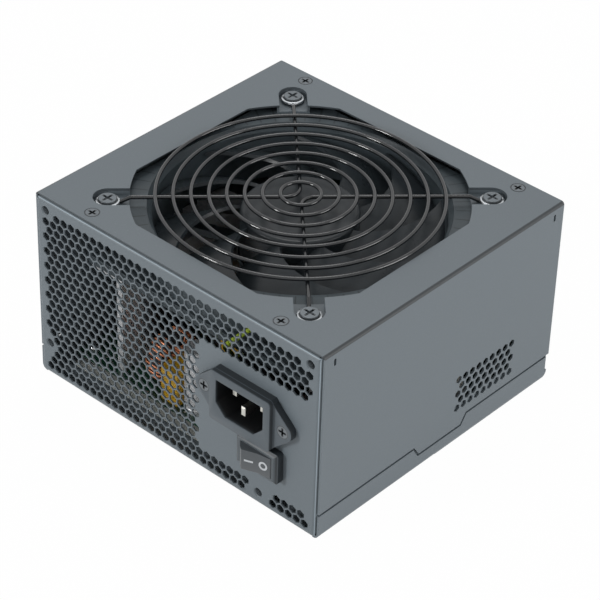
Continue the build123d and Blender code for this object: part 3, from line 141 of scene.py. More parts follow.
class Finish:
    def __init__(self, name, slot):
        self.material = bpy.data.materials.new(name)
        self.material.use_nodes = True
        self.slot = slot
        self.tree = self.material.node_tree
        self.tree.nodes.clear()
        self.place = self.node("ShaderNodeTexCoord").outputs["Object"]

    def node(self, kind, settings=None, inputs=None):
        return node(self.tree, kind, settings, inputs)

    def number(self, kind, settings=None, inputs=None, output=0):
        return Number(self.tree, self.node(kind, settings, inputs).outputs[output])

    def stretched(self, scale):
        return self.node("ShaderNodeMapping", {}, {"Vector": self.place, "Scale": scale}).outputs[0]

    def noise(self, scale, detail, where=None):
        inputs = {"Vector": where or self.place, "Scale": scale, "Detail": detail}
        return self.number("ShaderNodeTexNoise", {}, inputs)

    def cells(self, scale, feature="F1", where=None):
        inputs = {"Vector": where or self.place, "Scale": scale}
        return self.number("ShaderNodeTexVoronoi", {"feature": feature}, inputs)

    def axis(self, letter):
        return self.number("ShaderNodeSeparateXYZ", {}, {0: self.place}, "XYZ".index(letter))

    def between(self, value, low, high):
        inputs = {"Value": value, "From Min": low, "From Max": high}
        return self.number("ShaderNodeMapRange", {"interpolation_type": "SMOOTHSTEP"}, inputs)

    def mix(self, factor, first, second):
        return self.node("ShaderNodeMix", {"data_type": "RGBA"}, {0: factor, 6: first, 7: second}).outputs[2]

    def bump(self, height, distance, strength):
        inputs = {"Height": height, "Distance": distance, "Strength": strength}
        return self.node("ShaderNodeBump", {}, inputs).outputs[0]

    def done(self, **sockets):
        inputs = {key.replace("_", " "): value for key, value in sockets.items()}
        shader = self.node("ShaderNodeBsdfPrincipled", {}, inputs)
        output = self.node("ShaderNodeOutputMaterial")
        self.tree.links.new(shader.outputs[0], output.inputs[0])
        return self


# studio: lamps, world and floor

studio = {
    "plainLevel": 0.45,  # the world's light on the object
    "floorTone": (236, 236, 236),
    "floorGrain": 6,
    "floorWhite": 0.985,
    "floorSize": 6,
    "floorDrop": 0.3 * mm,
    "lampAim": (0, 0, 0.05),
    "lamps": (
        ("keyLamp", (-0.6, -1.3, 0.55), 0.3, 9.6),
        ("topLamp", (-0.45, 0.5, 1.2), 0.35, 2.4),
        ("rightLamp", (1.4, 0.55, 0.42), 0.7, 9.4),
    ),
}


def seenDirectly(tree):
    rays = node(tree, "ShaderNodeLightPath")
    seen = Number(tree, rays.outputs["Is Camera Ray"])
    for name in ("Is Glossy Ray", "Is Transmission Ray"):
        seen = seen.maths("MAXIMUM", seen, Number(tree, rays.outputs[name]))
    return seen


def buildStudio(settings):
    world = bpy.data.worlds.new("world")
    world.use_nodes = True
    bpy.context.scene.world = world
    tree = world.node_tree
    background = tree.nodes["Background"]
    level = seenDirectly(tree) * (1 - settings["plainLevel"]) + settings["plainLevel"]
    tree.links.new(level.socket, background.inputs["Strength"])
    background.inputs["Color"].default_value = (1, 1, 1, 1)

    shape = bmesh.new()
    place = Matrix.Translation((0, 0, -settings["floorDrop"]))
    bmesh.ops.create_grid(shape, x_segments=1, y_segments=1, size=settings["floorSize"], matrix=place)
    mesh = bpy.data.meshes.new("floor")
    shape.to_mesh(mesh)
    shape.free()
    floor = bpy.data.objects.new("floor", mesh)
    bpy.context.scene.collection.objects.link(floor)
    paper = Finish("paper", None)
    tree = paper.tree
    grain = paper.noise(60, 3)
    pale = tone(settings["floorTone"], more=settings["floorGrain"])
    colour = paper.mix(grain, tone(settings["floorTone"]), pale)
    card = paper.node("ShaderNodeBsdfDiffuse", {}, {"Color": colour})
    glow = paper.node("ShaderNodeEmission", {}, {"Color": (1, 1, 1, 1), "Strength": 1.0})
    factor = seenDirectly(tree) * settings["floorWhite"]
    both = paper.node("ShaderNodeMixShader", {}, {0: factor, 1: card.outputs[0], 2: glow.outputs[0]})
    output = paper.node("ShaderNodeOutputMaterial")
    tree.links.new(both.outputs[0], output.inputs[0])
    mesh.materials.append(paper.material)

    for name, place, size, power in settings["lamps"]:
        data = bpy.data.lights.new(name, "AREA")
        data.size = size
        data.energy = power
        lamp = bpy.data.objects.new(name, data)
        aim = Vector(settings["lampAim"]) - Vector(place)
        turn = aim.to_track_quat("-Z", "Y").to_matrix().to_4x4()
        lamp.matrix_world = Matrix.Translation(place) @ turn
        bpy.context.scene.collection.objects.link(lamp)


buildStudio(studio)
print("camera and studio are in place")


# finishes

paint = {
    "colour": (103, 112, 118),
    "depth": 7,
    "specks": 34,
    # shares and blurs of the painted shade in recesses and along bends, and of the painted highlight on bend
    # crests
    "recessShadeShare": 0.42,
    "recessShadeBlur": (0.5, 0.15),
    "bendShadeShare": 0.4,
    "bendShadeBlur": 0.4,
    "highlightShare": 1.75,
    "highlightBlur": (0.2, 0.05),
}
screwCross = {
    "halfWidth": 0.42,
    "widthBlur": 1.3,
    "reach": 0.68,
    "reachBlur": 1.1,
    "rim": (0.45, 0.2),
    # colour of the painted shade in the cross recess and round the rim
    "colour": (22, 25, 28),
}
fanRibs = {"count": 64, "from": 59.5, "to": 60.5}
# painted shade on the inlet block and switch bezel: the colour of the darker sides, and where that darkening
# and the cavity's starts and fades
inletShade = {
    "colour": (50, 55, 59),
    "blur": 0.3,
    "flange": -73.0,
    "flangeBlur": (0.05, 0.25),
    "cavityBlur": 0.15,
    "cavityFade": 1.5,
}


def casePaint(name, settings, recessShade=None, bendShade=None, bendHighlight=None):
    finish = Finish(name, "case_paint")
    colour, depth = settings["colour"], settings["depth"]
    clouds = finish.noise(26, 3)
    grain = finish.noise(1500, 3)
    pores = finish.cells(900)
    tint = finish.mix(clouds * 0.35 + grain * 0.65, tone(colour, more=-depth), tone(colour, more=depth))
    specks = finish.between(finish.noise(2600, 1), 0.66, 0.8)
    tint = finish.mix(specks * 0.35, tint, tone(colour, more=settings["specks"]))
    if recessShade or bendShade or bendHighlight:
        height, aside = finish.axis("Z"), abs(finish.axis("X"))
    if recessShade:
        # painted shade: darker colour where the sheet is drawn or cut below its top (pocket walls, screw
        # rims, the cover's front edge), standing in for the shade that falls there
        low, high, strength = recessShade
        lowBlur, highBlur = settings["recessShadeBlur"]
        shade = finish.between(height, (high + highBlur) * mm, high * mm)
        shade = shade * finish.between(height, (low - lowBlur) * mm, low * mm)
        tint = finish.mix(shade * strength, tint, tone(colour, settings["recessShadeShare"]))
    if bendShade:
        # painted shade: a dark line painted along the cover's side bends, just below its top
        across, above = bendShade
        shade = finish.between(aside, across * mm, (across + settings["bendShadeBlur"]) * mm)
        shade = shade * finish.between(height, above * mm, (above + settings["bendShadeBlur"]) * mm)
        tint = finish.mix(shade * 0.8, tint, tone(colour, settings["bendShadeShare"]))
    if bendHighlight:
        # painted highlight: the paint is made lighter along the crests of the bends, where a lamp's highlight
        # falls
        outer, inner = settings["highlightBlur"]
        lines = [
            finish.between(value, (crest - outer) * mm, (crest - inner) * mm)
            * finish.between(value, (crest + outer) * mm, (crest + inner) * mm)
            for value, crest in zip((aside, height), bendHighlight)
        ]
        line = aside.maths("MAXIMUM", *lines)
        tint = finish.mix(line * (clouds * 0.5 + 0.4), tint, tone(colour, settings["highlightShare"]))
    peel = finish.noise(620, 2) * 0.6 + grain * 0.5 + pores * 0.25
    return finish.done(
        Base_Color=tint,
        Roughness=clouds * 0.10 + grain * 0.12 + 0.36,
        Normal=finish.bump(peel, 0.05 * mm, 0.5),
        Specular_IOR_Level=0.45,
    )


def plainMetal(name, slot, colour, roughness, depth=14, grain=900):
    finish = Finish(name, slot)
    lines = finish.noise(grain, 3)
    stains = finish.noise(70, 3)
    tint = finish.mix(lines * 0.6 + stains * 0.4, tone(colour, more=-depth), tone(colour))
    return finish.done(
        Base_Color=tint,
        Metallic=1.0,
        Roughness=lines * 0.16 + stains * 0.10 + roughness,
        Normal=finish.bump(lines, 0.02 * mm, 0.4),
    )


def moulded(
    name, slot, colour, roughness, depth=6, texture=1800, relief=0.35, coat=0.0, shine=0.5, ribs=None
):
    finish = Finish(name, slot)
    grain = finish.noise(texture, 3)
    clouds = finish.noise(60, 2)
    tint = finish.mix(grain * 0.5 + clouds * 0.5, tone(colour, more=-depth), tone(colour, more=depth))
    height = grain
    if ribs:
        # fine lines run outwards over the flats outside the fan's ring
        across, along = finish.axis("X"), finish.axis("Y")
        reach = (across * across + along * along) ** 0.5
        waves = across.maths("ARCTAN2", along, across) * ribs["count"]
        lines = finish.between(waves.maths("SINE", waves), 0.9, 0.99)
        lines = lines * finish.between(reach, ribs["from"] * mm, ribs["to"] * mm)
        tint = finish.mix(lines * 0.5, tint, tone(colour, 0.4))
        height = grain - lines
    return finish.done(
        Base_Color=tint,
        Roughness=clouds * 0.12 + grain * 0.10 + roughness,
        Normal=finish.bump(height, 0.03 * mm, relief),
        Coat_Weight=coat,
        Specular_IOR_Level=shine,
    )


def inletPlastic(name, colour, front, cavity, cavityShadeColour):
    finish = Finish(name, "black_plastic")
    across, along, height = finish.axis("X"), finish.axis("Y"), finish.axis("Z")
    grain = finish.noise(2600, 3)
    clouds = finish.noise(60, 2)
    tint = finish.mix(grain * 0.5 + clouds * 0.5, tone(colour, more=-5), tone(colour, more=5))
    # painted shade: the sides behind the front are painted darker than the front, and the cavity is painted
    # near-black as the shade inside it
    skipFrom, skipTo = inletShade["flangeBlur"]
    sideShade = finish.between(along, front * mm, (front + inletShade["blur"]) * mm)
    offFlange = abs(along - inletShade["flange"] * mm)
    sideShade = sideShade * finish.between(offFlange, skipFrom * mm, skipTo * mm)
    tint = finish.mix(sideShade, tint, tone(inletShade["colour"]))
    x, z, halfWidth, halfHeight = cavity
    blur = inletShade["cavityBlur"]
    cavityShade = finish.between(abs(across - x * mm), (halfWidth + blur) * mm, halfWidth * mm)
    cavityShade = cavityShade * finish.between(abs(height - z * mm), (halfHeight + blur) * mm, halfHeight * mm)
    cavityShade = cavityShade * finish.between(along, front * mm, (front + inletShade["cavityFade"]) * mm)
    tint = finish.mix(cavityShade, tint, tone(cavityShadeColour))
    return finish.done(
        Base_Color=tint,
        Roughness=clouds * 0.1 + grain * 0.1 + 0.3,
        Normal=finish.bump(grain, 0.03 * mm, 0.25),
        Specular_IOR_Level=0.35,
    )


def screwHead(name, slot, colour, places, radius, metallic):
    # painted shade: a dark cross over the recess and a dark rim round each head, found by folding the four
    # places into one
    finish = Finish(name, slot)
    grain = finish.noise(1400, 3)
    stains = finish.noise(70, 3)
    tint = finish.mix(grain * 0.6 + stains * 0.4, tone(colour, more=-16), tone(colour))
    folded = []
    for letter, folds in places.items():
        away = finish.axis(letter)
        for fold in folds:
            away = abs(away - fold * mm)
        folded.append(away)
    u, v = folded
    outer, inner = screwCross["rim"]
    rim = finish.between((u * u + v * v) ** 0.5, (radius - outer) * mm, (radius - inner) * mm)
    wide, long = screwCross["halfWidth"] * mm, radius * screwCross["reach"] * mm
    arms = [
        finish.between(over, wide * screwCross["widthBlur"], wide)
        * finish.between(along, long * screwCross["reachBlur"], long)
        for over, along in ((u, v), (v, u))
    ]
    arms = u.maths("MAXIMUM", *arms)
    crossAndRimShade = arms.maths("MAXIMUM", arms, rim * 0.8)
    return finish.done(
        Base_Color=finish.mix(crossAndRimShade * 0.85, tint, tone(screwCross["colour"])),
        Metallic=metallic,
        Roughness=grain * 0.14 + stains * 0.08 + 0.26,
        Normal=finish.bump(grain * 0.3 - arms, 0.05 * mm, 0.5),
    )


def brushed(name, slot, colour):
    finish = Finish(name, slot)
    lines = finish.noise(900, 3, finish.stretched((1, 0.04, 1)))
    stains = finish.noise(90, 3)
    tint = finish.mix(lines * 0.6 + stains * 0.4, tone(colour, more=-26), tone(colour))
    return finish.done(
        Base_Color=tint,
        Metallic=stains * 0.2 + 0.35,
        Roughness=lines * 0.2 + 0.3,
        Normal=finish.bump(lines, 0.02 * mm, 0.5),
    )


def tape(name, slot, colour):
    finish = Finish(name, slot)
    layers = finish.noise(1.0, 1, finish.stretched((30, 30, 900)))
    wrinkles = finish.noise(220, 3)
    edge = finish.between(finish.noise(1.0, 0, finish.stretched((4, 4, 420))), 0.52, 0.6)
    tint = finish.mix(layers, tone(colour, 0.8), tone(colour))
    tint = finish.mix(edge * 0.35, tint, tone(colour, 0.62))
    return finish.done(
        Base_Color=tint,
        Roughness=wrinkles * 0.2 + 0.22,
        Normal=finish.bump(wrinkles * 0.5 + layers * 0.5 + edge * 0.4, 0.08 * mm, 0.6),
    )


def board(name, slot, colour):
    finish = Finish(name, slot)
    ways = finish.cells(260, "DISTANCE_TO_EDGE", finish.stretched((1, 1, 0.2)))
    tracks = finish.between(finish.noise(1.0, 0, finish.stretched((60, 340, 200))), 0.48, 0.52)
    copper = finish.between(finish.noise(38, 1), 0.45, 0.5)
    weave = finish.noise(1400, 1)
    tint = finish.mix(tracks * 0.5 + copper * 0.5, tone(colour), tone(colour, 1.45))
    dots = finish.cells(210)
    pads = finish.between(dots, 0.16, 0.12)
    tint = finish.mix(pads, tint, tone((186, 188, 184)))
    return finish.done(
        Base_Color=tint,
        Metallic=pads * 0.9,
        Roughness=weave * 0.12 + 0.28,
        Normal=finish.bump(tracks * 0.6 + copper * 0.4 + pads + ways * 0.2, 0.05 * mm, 0.6),
    )


def ferrite(name, slot, colour):
    finish = Finish(name, slot)
    grain = finish.noise(2400, 4)
    chips = finish.between(finish.noise(300, 3), 0.62, 0.7)
    tint = finish.mix(grain, tone(colour), tone(colour, more=22))
    return finish.done(
        Base_Color=finish.mix(chips * 0.5, tint, tone((120, 120, 124))),
        Roughness=grain * 0.25 + 0.45,
        Metallic=0.25,
        Normal=finish.bump(grain * 0.7 - chips * 0.3, 0.05 * mm, 0.6),
    )


def enamelled(name, slot, colour):
    finish = Finish(name, slot)
    stains = finish.noise(240, 3)
    tint = finish.mix(stains, tone(colour, 0.78), tone(colour))
    return finish.done(
        Base_Color=tint,
        Metallic=0.45,
        Roughness=stains * 0.15 + 0.24,
        Coat_Weight=0.4,
        Normal=finish.bump(finish.noise(1800, 2), 0.01 * mm, 0.3),
    )


def glass(name, slot):
    finish = Finish(name, slot)
    smudge = finish.noise(300, 3)
    return finish.done(
        Base_Color=finish.mix(smudge, tone((228, 234, 238)), tone((248, 250, 252))),
        Roughness=smudge * 0.12 + 0.04,
        Transmission_Weight=0.85,
        IOR=1.5,
    )


finishes = {
    "case": casePaint("casePaint", paint),
    # the cover gets painted shade in its recesses and along its side bends
    "cover": casePaint("coverPaint", paint, recessShade=(85.0, 85.8, 0.6), bendShade=(73.6, 84.5)),
    # the panel gets a painted highlight along its bend crests
    "panel": casePaint("panelPaint", paint, bendHighlight=(73.5, 84.5)),
    "thread": plainMetal("threadSteel", "bright_steel", (98, 104, 108), 0.3),
    "eye": plainMetal("eyeSteel", "grille_wire", (196, 200, 203), 0.16, grain=400),
    "coverScrew": screwHead(
        "screwPaint", "case_paint", (112, 120, 126), {"X": (0, 52.5, 3.5), "Y": (0, 64)}, 2.85, 0.0
    ),
    "steel": plainMetal("brightSteel", "bright_steel", (206, 208, 210), 0.16),
    "fanScrew": screwHead(
        "fanScrewSteel", "screw_steel", (112, 119, 124), {"X": (0, 52.5), "Y": (0, 52.5)}, 3.8, 0.35
    ),
    "inletScrew": screwHead(
        "inletScrewSteel", "screw_steel", (118, 124, 128), {"X": (39.2, 20), "Z": (45.2,)}, 2.8, 0.35
    ),
    "wire": moulded(
        "grilleWire", "grille_wire", (24, 27, 30), 0.02, depth=3, texture=500, relief=0.03, coat=0.25
    ),
    "fan": moulded(
        "fanPlastic", "fan_plastic", (76, 85, 90), 0.30, texture=1200, relief=0.15, shine=0.25, ribs=fanRibs
    ),
    "rotor": moulded(
        "rotorPlastic", "fan_plastic", (44, 50, 54), 0.20, texture=900, relief=0.1, shine=0.35
    ),
    "black": moulded("blackPlastic", "black_plastic", (38, 41, 44), 0.40),
    "inlet": inletPlastic("inletPlastic", (82, 90, 96), -74.75, (39.2, 45.6, 12.0, 7.6), (15, 16, 18)),
    "bezel": inletPlastic("bezelPlastic", (78, 85, 90), -73.8, (47.1, 25.8, 8.9, 5.6), (20, 22, 24)),
    "rocker": moulded(
        "rockerPlastic", "rocker_plastic", (70, 75, 79), 0.26, texture=2600, relief=0.15, coat=0.2
    ),
    "mark": moulded("whiteMark", "white_mark", (196, 200, 204), 0.45, depth=8),
    "bronze": plainMetal("bronze", "bronze", (176, 136, 86), 0.3, depth=24),
    "brass": plainMetal("bladeBrass", "blade_brass", (212, 211, 204), 0.18, depth=20),
    "ferrite": ferrite("ferrite", "ferrite", (38, 39, 42)),
    "copper": enamelled("copperWire", "copper_wire", (236, 150, 104)),
    "tape": tape("yellowTape", "yellow_tape", (226, 178, 44)),
    "board": board("boardGreen", "board_green", (20, 52, 38)),
    "aluminium": brushed("aluminium", "aluminium", (222, 224, 226)),
    "sleeve": moulded("canSleeve", "can_sleeve", (28, 30, 36), 0.24, texture=300, relief=0.2),
    "film": moulded("film", "film", (196, 198, 192), 0.3, texture=400, relief=0.3),
    "ceramic": moulded("blueCeramic", "blue_ceramic", (34, 84, 158), 0.22, texture=500, relief=0.4, coat=0.3),
    "white": moulded("whitePlastic", "white_plastic", (218, 216, 206), 0.36),
    "glass": glass("glassTube", "glass_tube"),
    "brown": moulded("brownInsulation", "brown_insulation", (88, 50, 30), 0.38, relief=0.2),
    "earth": moulded("earthInsulation", "earth_insulation", (148, 168, 44), 0.36, relief=0.2),
    "lead": moulded("leadInsulation", "lead_insulation", (26, 26, 28), 0.4, relief=0.2),
}

nodeFinishes = {
    "case": ("inlet_face", "base_tray"),
    "cover": ("top_cover",),
    "coverScrew": ("cover_screws",),
    "fanScrew": ("fan_screws",),
    "inletScrew": ("inlet_screws",),
    "steel": ("inlet_nuts", "board_screws", "board_standoffs", "fan_shaft", "fan_stator"),
    "wire": ("grille_rings", "grille_spokes"),
    "fan": ("fan_frame",),
    "rotor": ("fan_rotor",),
    "ferrite": (
        "magnet_ring",
        "transformer_core",
        "filter_choke_core",
        "boost_choke_core",
        "output_choke_core",
    ),
    "bronze": ("fan_bearing",),
    "copper": ("fan_windings", "filter_choke_winding", "boost_choke_winding", "output_choke_winding"),
    "board": ("fan_board", "main_board", "controller_board", "socket_board"),
    "inlet": ("inlet_body",),
    "bezel": ("switch_housing",),
    "rocker": ("switch_rocker",),
    "mark": ("switch_marks",),
    "brass": ("inlet_blades", "switch_terminals", "socket_pins"),
    "film": ("insulating_sheet",),
    "aluminium": ("primary_heatsink", "secondary_heatsink", "input_capacitor"),
    "black": ("primary_transistors", "secondary_rectifiers", "bridge_rectifier", "output_sockets"),
    "sleeve": ("bulk_capacitor", "output_capacitors"),
    "tape": ("x_capacitor", "transformer_winding", "standby_transformer"),
    "ceramic": ("y_capacitors",),
    "glass": ("fuse",),
    "white": ("fan_header",),
    "brown": ("mains_leads",),
    "earth": ("earth_wire",),
    "lead": ("fan_lead", "output_leads"),
}

for key, names in nodeFinishes.items():
    for name in names:
        nodes[name].data.materials.clear()
        nodes[name].data.materials.append(finishes[key].material)
print("finishes are on the nodes")


# mesh helpers


def newPiece(name, shape, finish, body="case", replaces=(), sharp=32):
    mesh = bpy.data.meshes.new(name)
    shape.to_mesh(mesh)
    shape.free()
    for face in mesh.polygons:
        face.use_smooth = True
    mesh.set_sharp_from_angle(angle=radians(sharp))
    mesh.materials.append(finishes[finish].material)
    piece = bpy.data.objects.new(name, mesh)
    bpy.context.scene.collection.objects.link(piece)
    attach(piece, body)
    if replaces:
        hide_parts(*replaces)


def at(x, y, z):
    return Matrix.Translation((x * mm, y * mm, z * mm))


def ofKind(geometry, kind):
    return [part for part in geometry if isinstance(part, kind)]


def copyOf(name):
    shape = bmesh.new()
    shape.from_mesh(nodes[name].data)
    bmesh.ops.remove_doubles(shape, verts=shape.verts[:], dist=0.001 * mm)
    bmesh.ops.dissolve_limit(shape, angle_limit=radians(0.5), verts=shape.verts[:], edges=shape.edges[:])
    return shape


def softened(name, settings):
    shape = copyOf(settings["node"])
    above = radians(settings["above"])
    corners = [edge for edge in shape.edges if edge.is_manifold and abs(edge.calc_face_angle()) > above]
    bmesh.ops.bevel(
        shape,
        geom=corners,
        offset=settings["round"] * mm,
        segments=settings["segments"],
        profile=0.5,
        affect="EDGES",
        material=-1,
        clamp_overlap=True,
    )
    bmesh.ops.recalc_face_normals(shape, faces=shape.faces[:])
    newPiece(name, shape, settings["finish"], settings["body"], replaces=(settings["node"],), sharp=40)


# inlet face: one pressed sheet with a honeycomb of vents

inletPanel = {
    "front": -70.0,
    "sheet": 0.8,
    "halfWidth": 72.5,
    "bottom": 2.5,
    "top": 83.5,
    "pitch": 4.05,
    "flats": 3.35,
    "rim": 0.2,
    "rimDepth": 0.2,
    "topRow": 78.4,
    "bottomRow": 4.0,
    "edge": 69.2,
    "ventSides": 6,
    "firstColumn": -69.0,
    "mounts": ((-69, 80), (69, 80), (-69, 16), (45, 6)),
    "mountRadius": 1.75,
    "mountLeadIn": 0.45,
    "mountSides": 24,
    "clearance": (4.5, 4.5, 4.5, 6.5),
    "plainFrom": (13.0, 10.5, 62.5),
    "cutouts": ((39.2, 45.2, 27.6, 20.0), (47.1, 25.8, 19.8, 12.4)),
    "screws": ((19.2, 45.2), (59.2, 45.2)),
    "screwRadius": 1.5,
    "screwSides": 16,
    "sideBend": 1.4,
    "sideFlange": 6.6,
    "topFlange": 9.1,
    "footBend": 2.5,
    "footFlange": 6.5,
    "bendSteps": 6,
    "edgeDepth": 1.0,  # faces in front of this are the sheet's own edge
}


def ventCentres(settings):
    rowPitch = settings["pitch"] * sqrt(3) / 2
    plainX, plainLow, plainHigh = settings["plainFrom"]
    kept = list(zip(settings["mounts"], settings["clearance"]))
    centres = []
    for row in range(int((settings["topRow"] - settings["bottomRow"]) / rowPitch) + 1):
        z = settings["topRow"] - row * rowPitch
        x = settings["firstColumn"] + (settings["pitch"] / 2 if row % 2 == 0 else 0)
        while x <= settings["edge"]:
            free = all(hypot(x - mountX, z - mountZ) > gap for (mountX, mountZ), gap in kept)
            if free and not (x > plainX and plainLow < z < plainHigh):
                centres.append((x, z))
            x += settings["pitch"]
    return centres


def upright(x, y, z):
    return at(x, y, z) @ Matrix.Rotation(radians(90), 4, "X")


def rectangleLoop(shape, place, width, height):
    size = Matrix.Diagonal((width * mm, height * mm, 1, 1))
    made = bmesh.ops.create_grid(shape, x_segments=1, y_segments=1, size=0.5, matrix=place @ size)
    faces = list({face for vert in made["verts"] for face in vert.link_faces})
    bmesh.ops.delete(shape, geom=faces, context="FACES_ONLY")
    return made["verts"]


def openingLoops(shape, settings, depth, grow):
    y = settings["front"] + depth
    ventRadius = (settings["flats"] / 2 + grow) * 2 / sqrt(3)
    mountRadius = settings["mountRadius"] + (settings["mountLeadIn"] if grow else 0)
    wanted = (
        (ventCentres(settings), ventRadius, settings["ventSides"]),
        (settings["mounts"], mountRadius, settings["mountSides"]),
        (settings["screws"], settings["screwRadius"], settings["screwSides"]),
    )
    loops = []
    for places, radius, sides in wanted:
        for x, z in places:
            made = bmesh.ops.create_circle(shape, segments=sides, radius=radius * mm, matrix=upright(x, y, z))
            loops.append(made["verts"])
    for x, z, width, height in settings["cutouts"]:
        loops.append(rectangleLoop(shape, upright(x, y, z), width, height))
    return loops


def sheetSkin(settings, depth, grow):
    shape = bmesh.new()
    place = upright(0, settings["front"] + depth, (settings["bottom"] + settings["top"]) / 2)
    rectangleLoop(shape, place, 2 * settings["halfWidth"], settings["top"] - settings["bottom"])
    loops = openingLoops(shape, settings, depth, grow)
    bmesh.ops.triangle_fill(shape, use_beauty=True, use_dissolve=False, edges=shape.edges[:])
    return shape, loops


def sinkWall(shape, settings, verts):
    # the rim rolls in a little, then the wall goes straight back
    edges = list({edge for vert in verts for edge in vert.link_edges if edge.is_boundary})
    centre = sum((vert.co for vert in verts), Vector()) / len(verts)
    scale, drop = 1.0, settings["rimDepth"]
    if len(verts) == settings["ventSides"]:
        scale = settings["flats"] / (settings["flats"] + 2 * settings["rim"])
    elif len(verts) == settings["mountSides"]:
        scale = settings["mountRadius"] / (settings["mountRadius"] + settings["mountLeadIn"])
        drop = settings["mountLeadIn"]
    for factor, depth in ((scale, drop), (1.0, settings["sheet"] - drop)):
        moved = bmesh.ops.extrude_edge_only(shape, edges=edges)["geom"]
        fresh = ofKind(moved, bmesh.types.BMVert)
        edges = ofKind(moved, bmesh.types.BMEdge)
        bmesh.ops.scale(shape, vec=(factor, 1, factor), space=Matrix.Translation(-centre), verts=fresh)
        bmesh.ops.translate(shape, vec=(0, depth * mm, 0), verts=fresh)


def bendAway(shape, settings, chosen, centre, axis, angle, flange):
    # the sheet's edge turns back round the centre, then runs straight along the case
    faces = [face for face in shape.faces if chosen(face.calc_center_median())]
    turned = bmesh.ops.spin(
        shape,
        geom=faces,
        cent=centre,
        axis=axis,
        angle=radians(angle),
        steps=settings["bendSteps"],
        use_duplicate=False,
    )
    last = ofKind(turned["geom_last"], bmesh.types.BMFace)
    moved = bmesh.ops.extrude_face_region(shape, geom=last)
    bmesh.ops.delete(shape, geom=last, context="FACES_ONLY")
    bmesh.ops.translate(shape, vec=(0, flange * mm, 0), verts=ofKind(moved["geom"], bmesh.types.BMVert))


def bendEdges(shape, settings):
    half, low, high = (settings[key] * mm for key in ("halfWidth", "bottom", "top"))
    inner = (settings["front"] + settings["sideBend"]) * mm
    foot = (settings["front"] + settings["footBend"]) * mm
    sheetBack = (settings["front"] + settings["edgeDepth"]) * mm
    near = 0.01 * mm

    def onTop(middle):
        return abs(middle.z - high) < near

    def onFoot(middle):
        return abs(middle.z - low) < near and middle.y < sheetBack

    bendAway(shape, settings, onTop, (0, inner, high), (1, 0, 0), -90, settings["topFlange"])
    for side in (-1, 1):
        edge = side * half

        def onSide(middle):
            return abs(middle.x - edge) < near and middle.y < sheetBack

        bendAway(shape, settings, onSide, (edge, inner, 0), (0, 0, 1), 90 * side, settings["sideFlange"])
    bendAway(shape, settings, onFoot, (0, foot, low), (1, 0, 0), 90, settings["footFlange"])


def buildInletPanel(settings):
    shape, loops = sheetSkin(settings, 0, settings["rim"])
    for verts in loops:
        sinkWall(shape, settings, verts)
    back, _ = sheetSkin(settings, settings["sheet"], 0)
    mesh = bpy.data.meshes.new("panelBack")
    back.to_mesh(mesh)
    back.free()
    shape.from_mesh(mesh)
    bpy.data.meshes.remove(mesh)
    # close the outer edge between the two skins
    bmesh.ops.remove_doubles(shape, verts=shape.verts[:], dist=0.002 * mm)
    bmesh.ops.bridge_loops(shape, edges=[edge for edge in shape.edges if edge.is_boundary])
    bmesh.ops.recalc_face_normals(shape, faces=shape.faces[:])
    bendEdges(shape, settings)
    bmesh.ops.recalc_face_normals(shape, faces=shape.faces[:])
    newPiece("inletPanel", shape, "panel", replaces=("inlet_face",))


buildInletPanel(inletPanel)
print("inlet panel is pressed")


# threads in the mounting holes, and the wire's eyes under the fan screws

threads = {
    "radius": 1.76,
    "wall": 0.3,
    "depth": 0.16,
    "ridges": 4,
    "first": -69.6,
    "pitch": 0.55,
    "reach": 2.4,
    "steps": 24,
}
eyes = {"places": (-52.5, 52.5), "height": 84.0, "radius": 4.15, "wire": 0.75, "steps": 28, "sides": 8}


def ringProfile(shape, points, place, steps):
    verts = [shape.verts.new(place @ Vector((radius * mm, 0, height * mm))) for radius, height in points]
    edges = [shape.edges.new(pair) for pair in zip(verts, verts[1:] + verts[:1])]
    bmesh.ops.spin(
        shape,
        geom=verts + edges,
        cent=place.translation,
        axis=place.to_3x3() @ Vector((0, 0, 1)),
        angle=radians(360),
        steps=steps,
        use_merge=True,
        use_duplicate=False,
    )


def buildThreads(settings, places):
    shape = bmesh.new()
    inner = settings["radius"]
    outer = inner + settings["wall"]
    for x, z in places:
        points = [(outer, 0), (outer, settings["reach"])]
        for ridge in range(settings["ridges"], 0, -1):
            height = ridge * settings["pitch"]
            points += [(inner, height), (inner - settings["depth"], height - settings["pitch"] / 2)]
        points.append((inner, 0))
        place = at(x, settings["first"], z) @ Matrix.Rotation(radians(-90), 4, "X")
        ringProfile(shape, points, place, settings["steps"])
    bmesh.ops.recalc_face_normals(shape, faces=shape.faces[:])
    newPiece("mountThreads", shape, "thread")


def buildEyes(settings):
    shape = bmesh.new()
    wire, sides = settings["wire"], settings["sides"]
    turns = [radians(360 * side / sides) for side in range(sides)]
    points = [(settings["radius"] + wire * cos(turn), wire * sin(turn)) for turn in turns]
    for x in settings["places"]:
        for y in settings["places"]:
            ringProfile(shape, points, at(x, y, settings["height"]), settings["steps"])
    bmesh.ops.recalc_face_normals(shape, faces=shape.faces[:])
    newPiece("wireEyes", shape, "eye")


buildThreads(threads, inletPanel["mounts"])
buildEyes(eyes)
print("threads and wire eyes are in")


# inlet block and switch, with softened edges

mouldings = {
    "inletBlock": {
        "node": "inlet_body",
        "finish": "inlet",
        "round": 0.22,
        "segments": 2,
        "above": 25,
        "body": "case",
    },
    "switchFrame": {
        "node": "switch_housing",
        "finish": "bezel",
        "round": 0.15,
        "segments": 2,
        "above": 25,
        "body": "case",
    },
    "rocker": {
        "node": "switch_rocker",
        "finish": "rocker",
        "round": 0.25,
        "segments": 2,
        "above": 25,
        "body": "rocker",
    },
}

for name, settings in mouldings.items():
    softened(name, settings)
print("inlet and switch are moulded")


# chokes: turns of enamelled wire round each ring

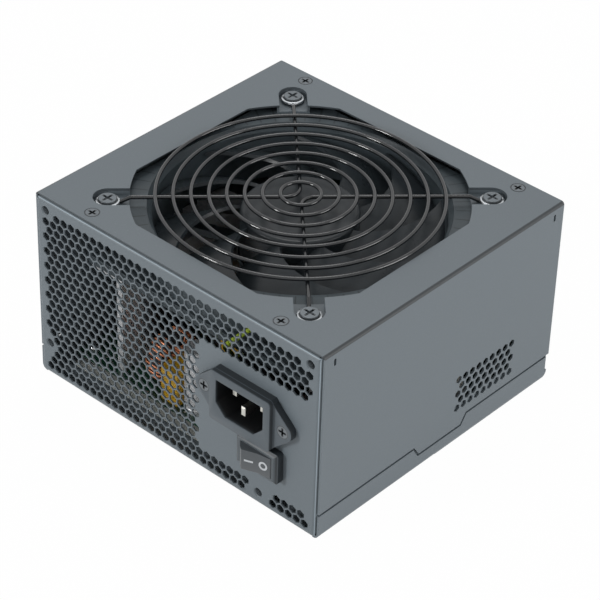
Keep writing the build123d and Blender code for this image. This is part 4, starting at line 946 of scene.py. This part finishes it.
chokes = {
    "filterTurns": {
        "node": "filter_choke_winding",
        "tilt": 90,
        "outer": 11.5,
        "inner": 5.0,
        "length": 9.0,
        "wire": 0.42,
        "turns": 14,
        "gap": 16,
        "run": (0.12, 0.88),
    },
    "boostTurns": {
        "node": "boost_choke_winding",
        "tilt": 0,
        "outer": 17.0,
        "inner": 8.0,
        "length": 15.0,
        "wire": 0.55,
        "turns": 19,
        "gap": 16,
        "run": (0.12, 0.88),
    },
    "outputTurns": {
        "node": "output_choke_winding",
        "tilt": 0,
        "outer": 12.5,
        "inner": 5.5,
        "length": 12.0,
        "wire": 0.5,
        "turns": 14,
        "gap": 16,
        "run": (0.12, 0.88),
    },
}


def woundHalf(shape, settings, start, middle):
    wire = settings["wire"]
    outer, inner, half = settings["outer"] - wire, settings["inner"] + wire, settings["length"] / 2 - wire
    sweep = 180 - 2 * settings["gap"]
    section = [(inner, -half), (outer, -half), (outer, half), (inner, half)]
    points = []
    for turn in range(settings["turns"]):
        for corner, (radius, height) in enumerate(section):
            angle = radians(start + settings["gap"] + sweep * (turn + corner / 4) / settings["turns"])
            nextRadius, nextHeight = section[(corner + 1) % 4]
            for share in settings["run"]:
                r = radius + (nextRadius - radius) * share
                h = height + (nextHeight - height) * share
                step = radians(sweep * share / 4 / settings["turns"])
                points.append((r * cos(angle + step), r * sin(angle + step), h))
    curve = bpy.data.curves.new("turns", "CURVE")
    curve.dimensions = "3D"
    curve.bevel_depth = wire * mm
    curve.bevel_resolution = 1
    curve.resolution_u = 2
    spline = curve.splines.new("POLY")
    spline.points.add(len(points) - 1)
    for point, place in zip(spline.points, points):
        point.co = (*(part * mm for part in place), 1)
    wound = bpy.data.objects.new("turns", curve)
    mesh = bpy.data.meshes.new_from_object(wound)
    bpy.data.objects.remove(wound)
    bpy.data.curves.remove(curve)
    mesh.transform(middle)
    shape.from_mesh(mesh)
    bpy.data.meshes.remove(mesh)


for name, choke in chokes.items():
    low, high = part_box(choke["node"])
    middle = Matrix.Translation((low + high) / 2) @ Matrix.Rotation(radians(choke["tilt"]), 4, "Y")
    shape = bmesh.new()
    for start in (0, 180):
        woundHalf(shape, choke, start, middle)
    newPiece(name, shape, "copper", replaces=(choke["node"],), sharp=60)
print("chokes are wound")
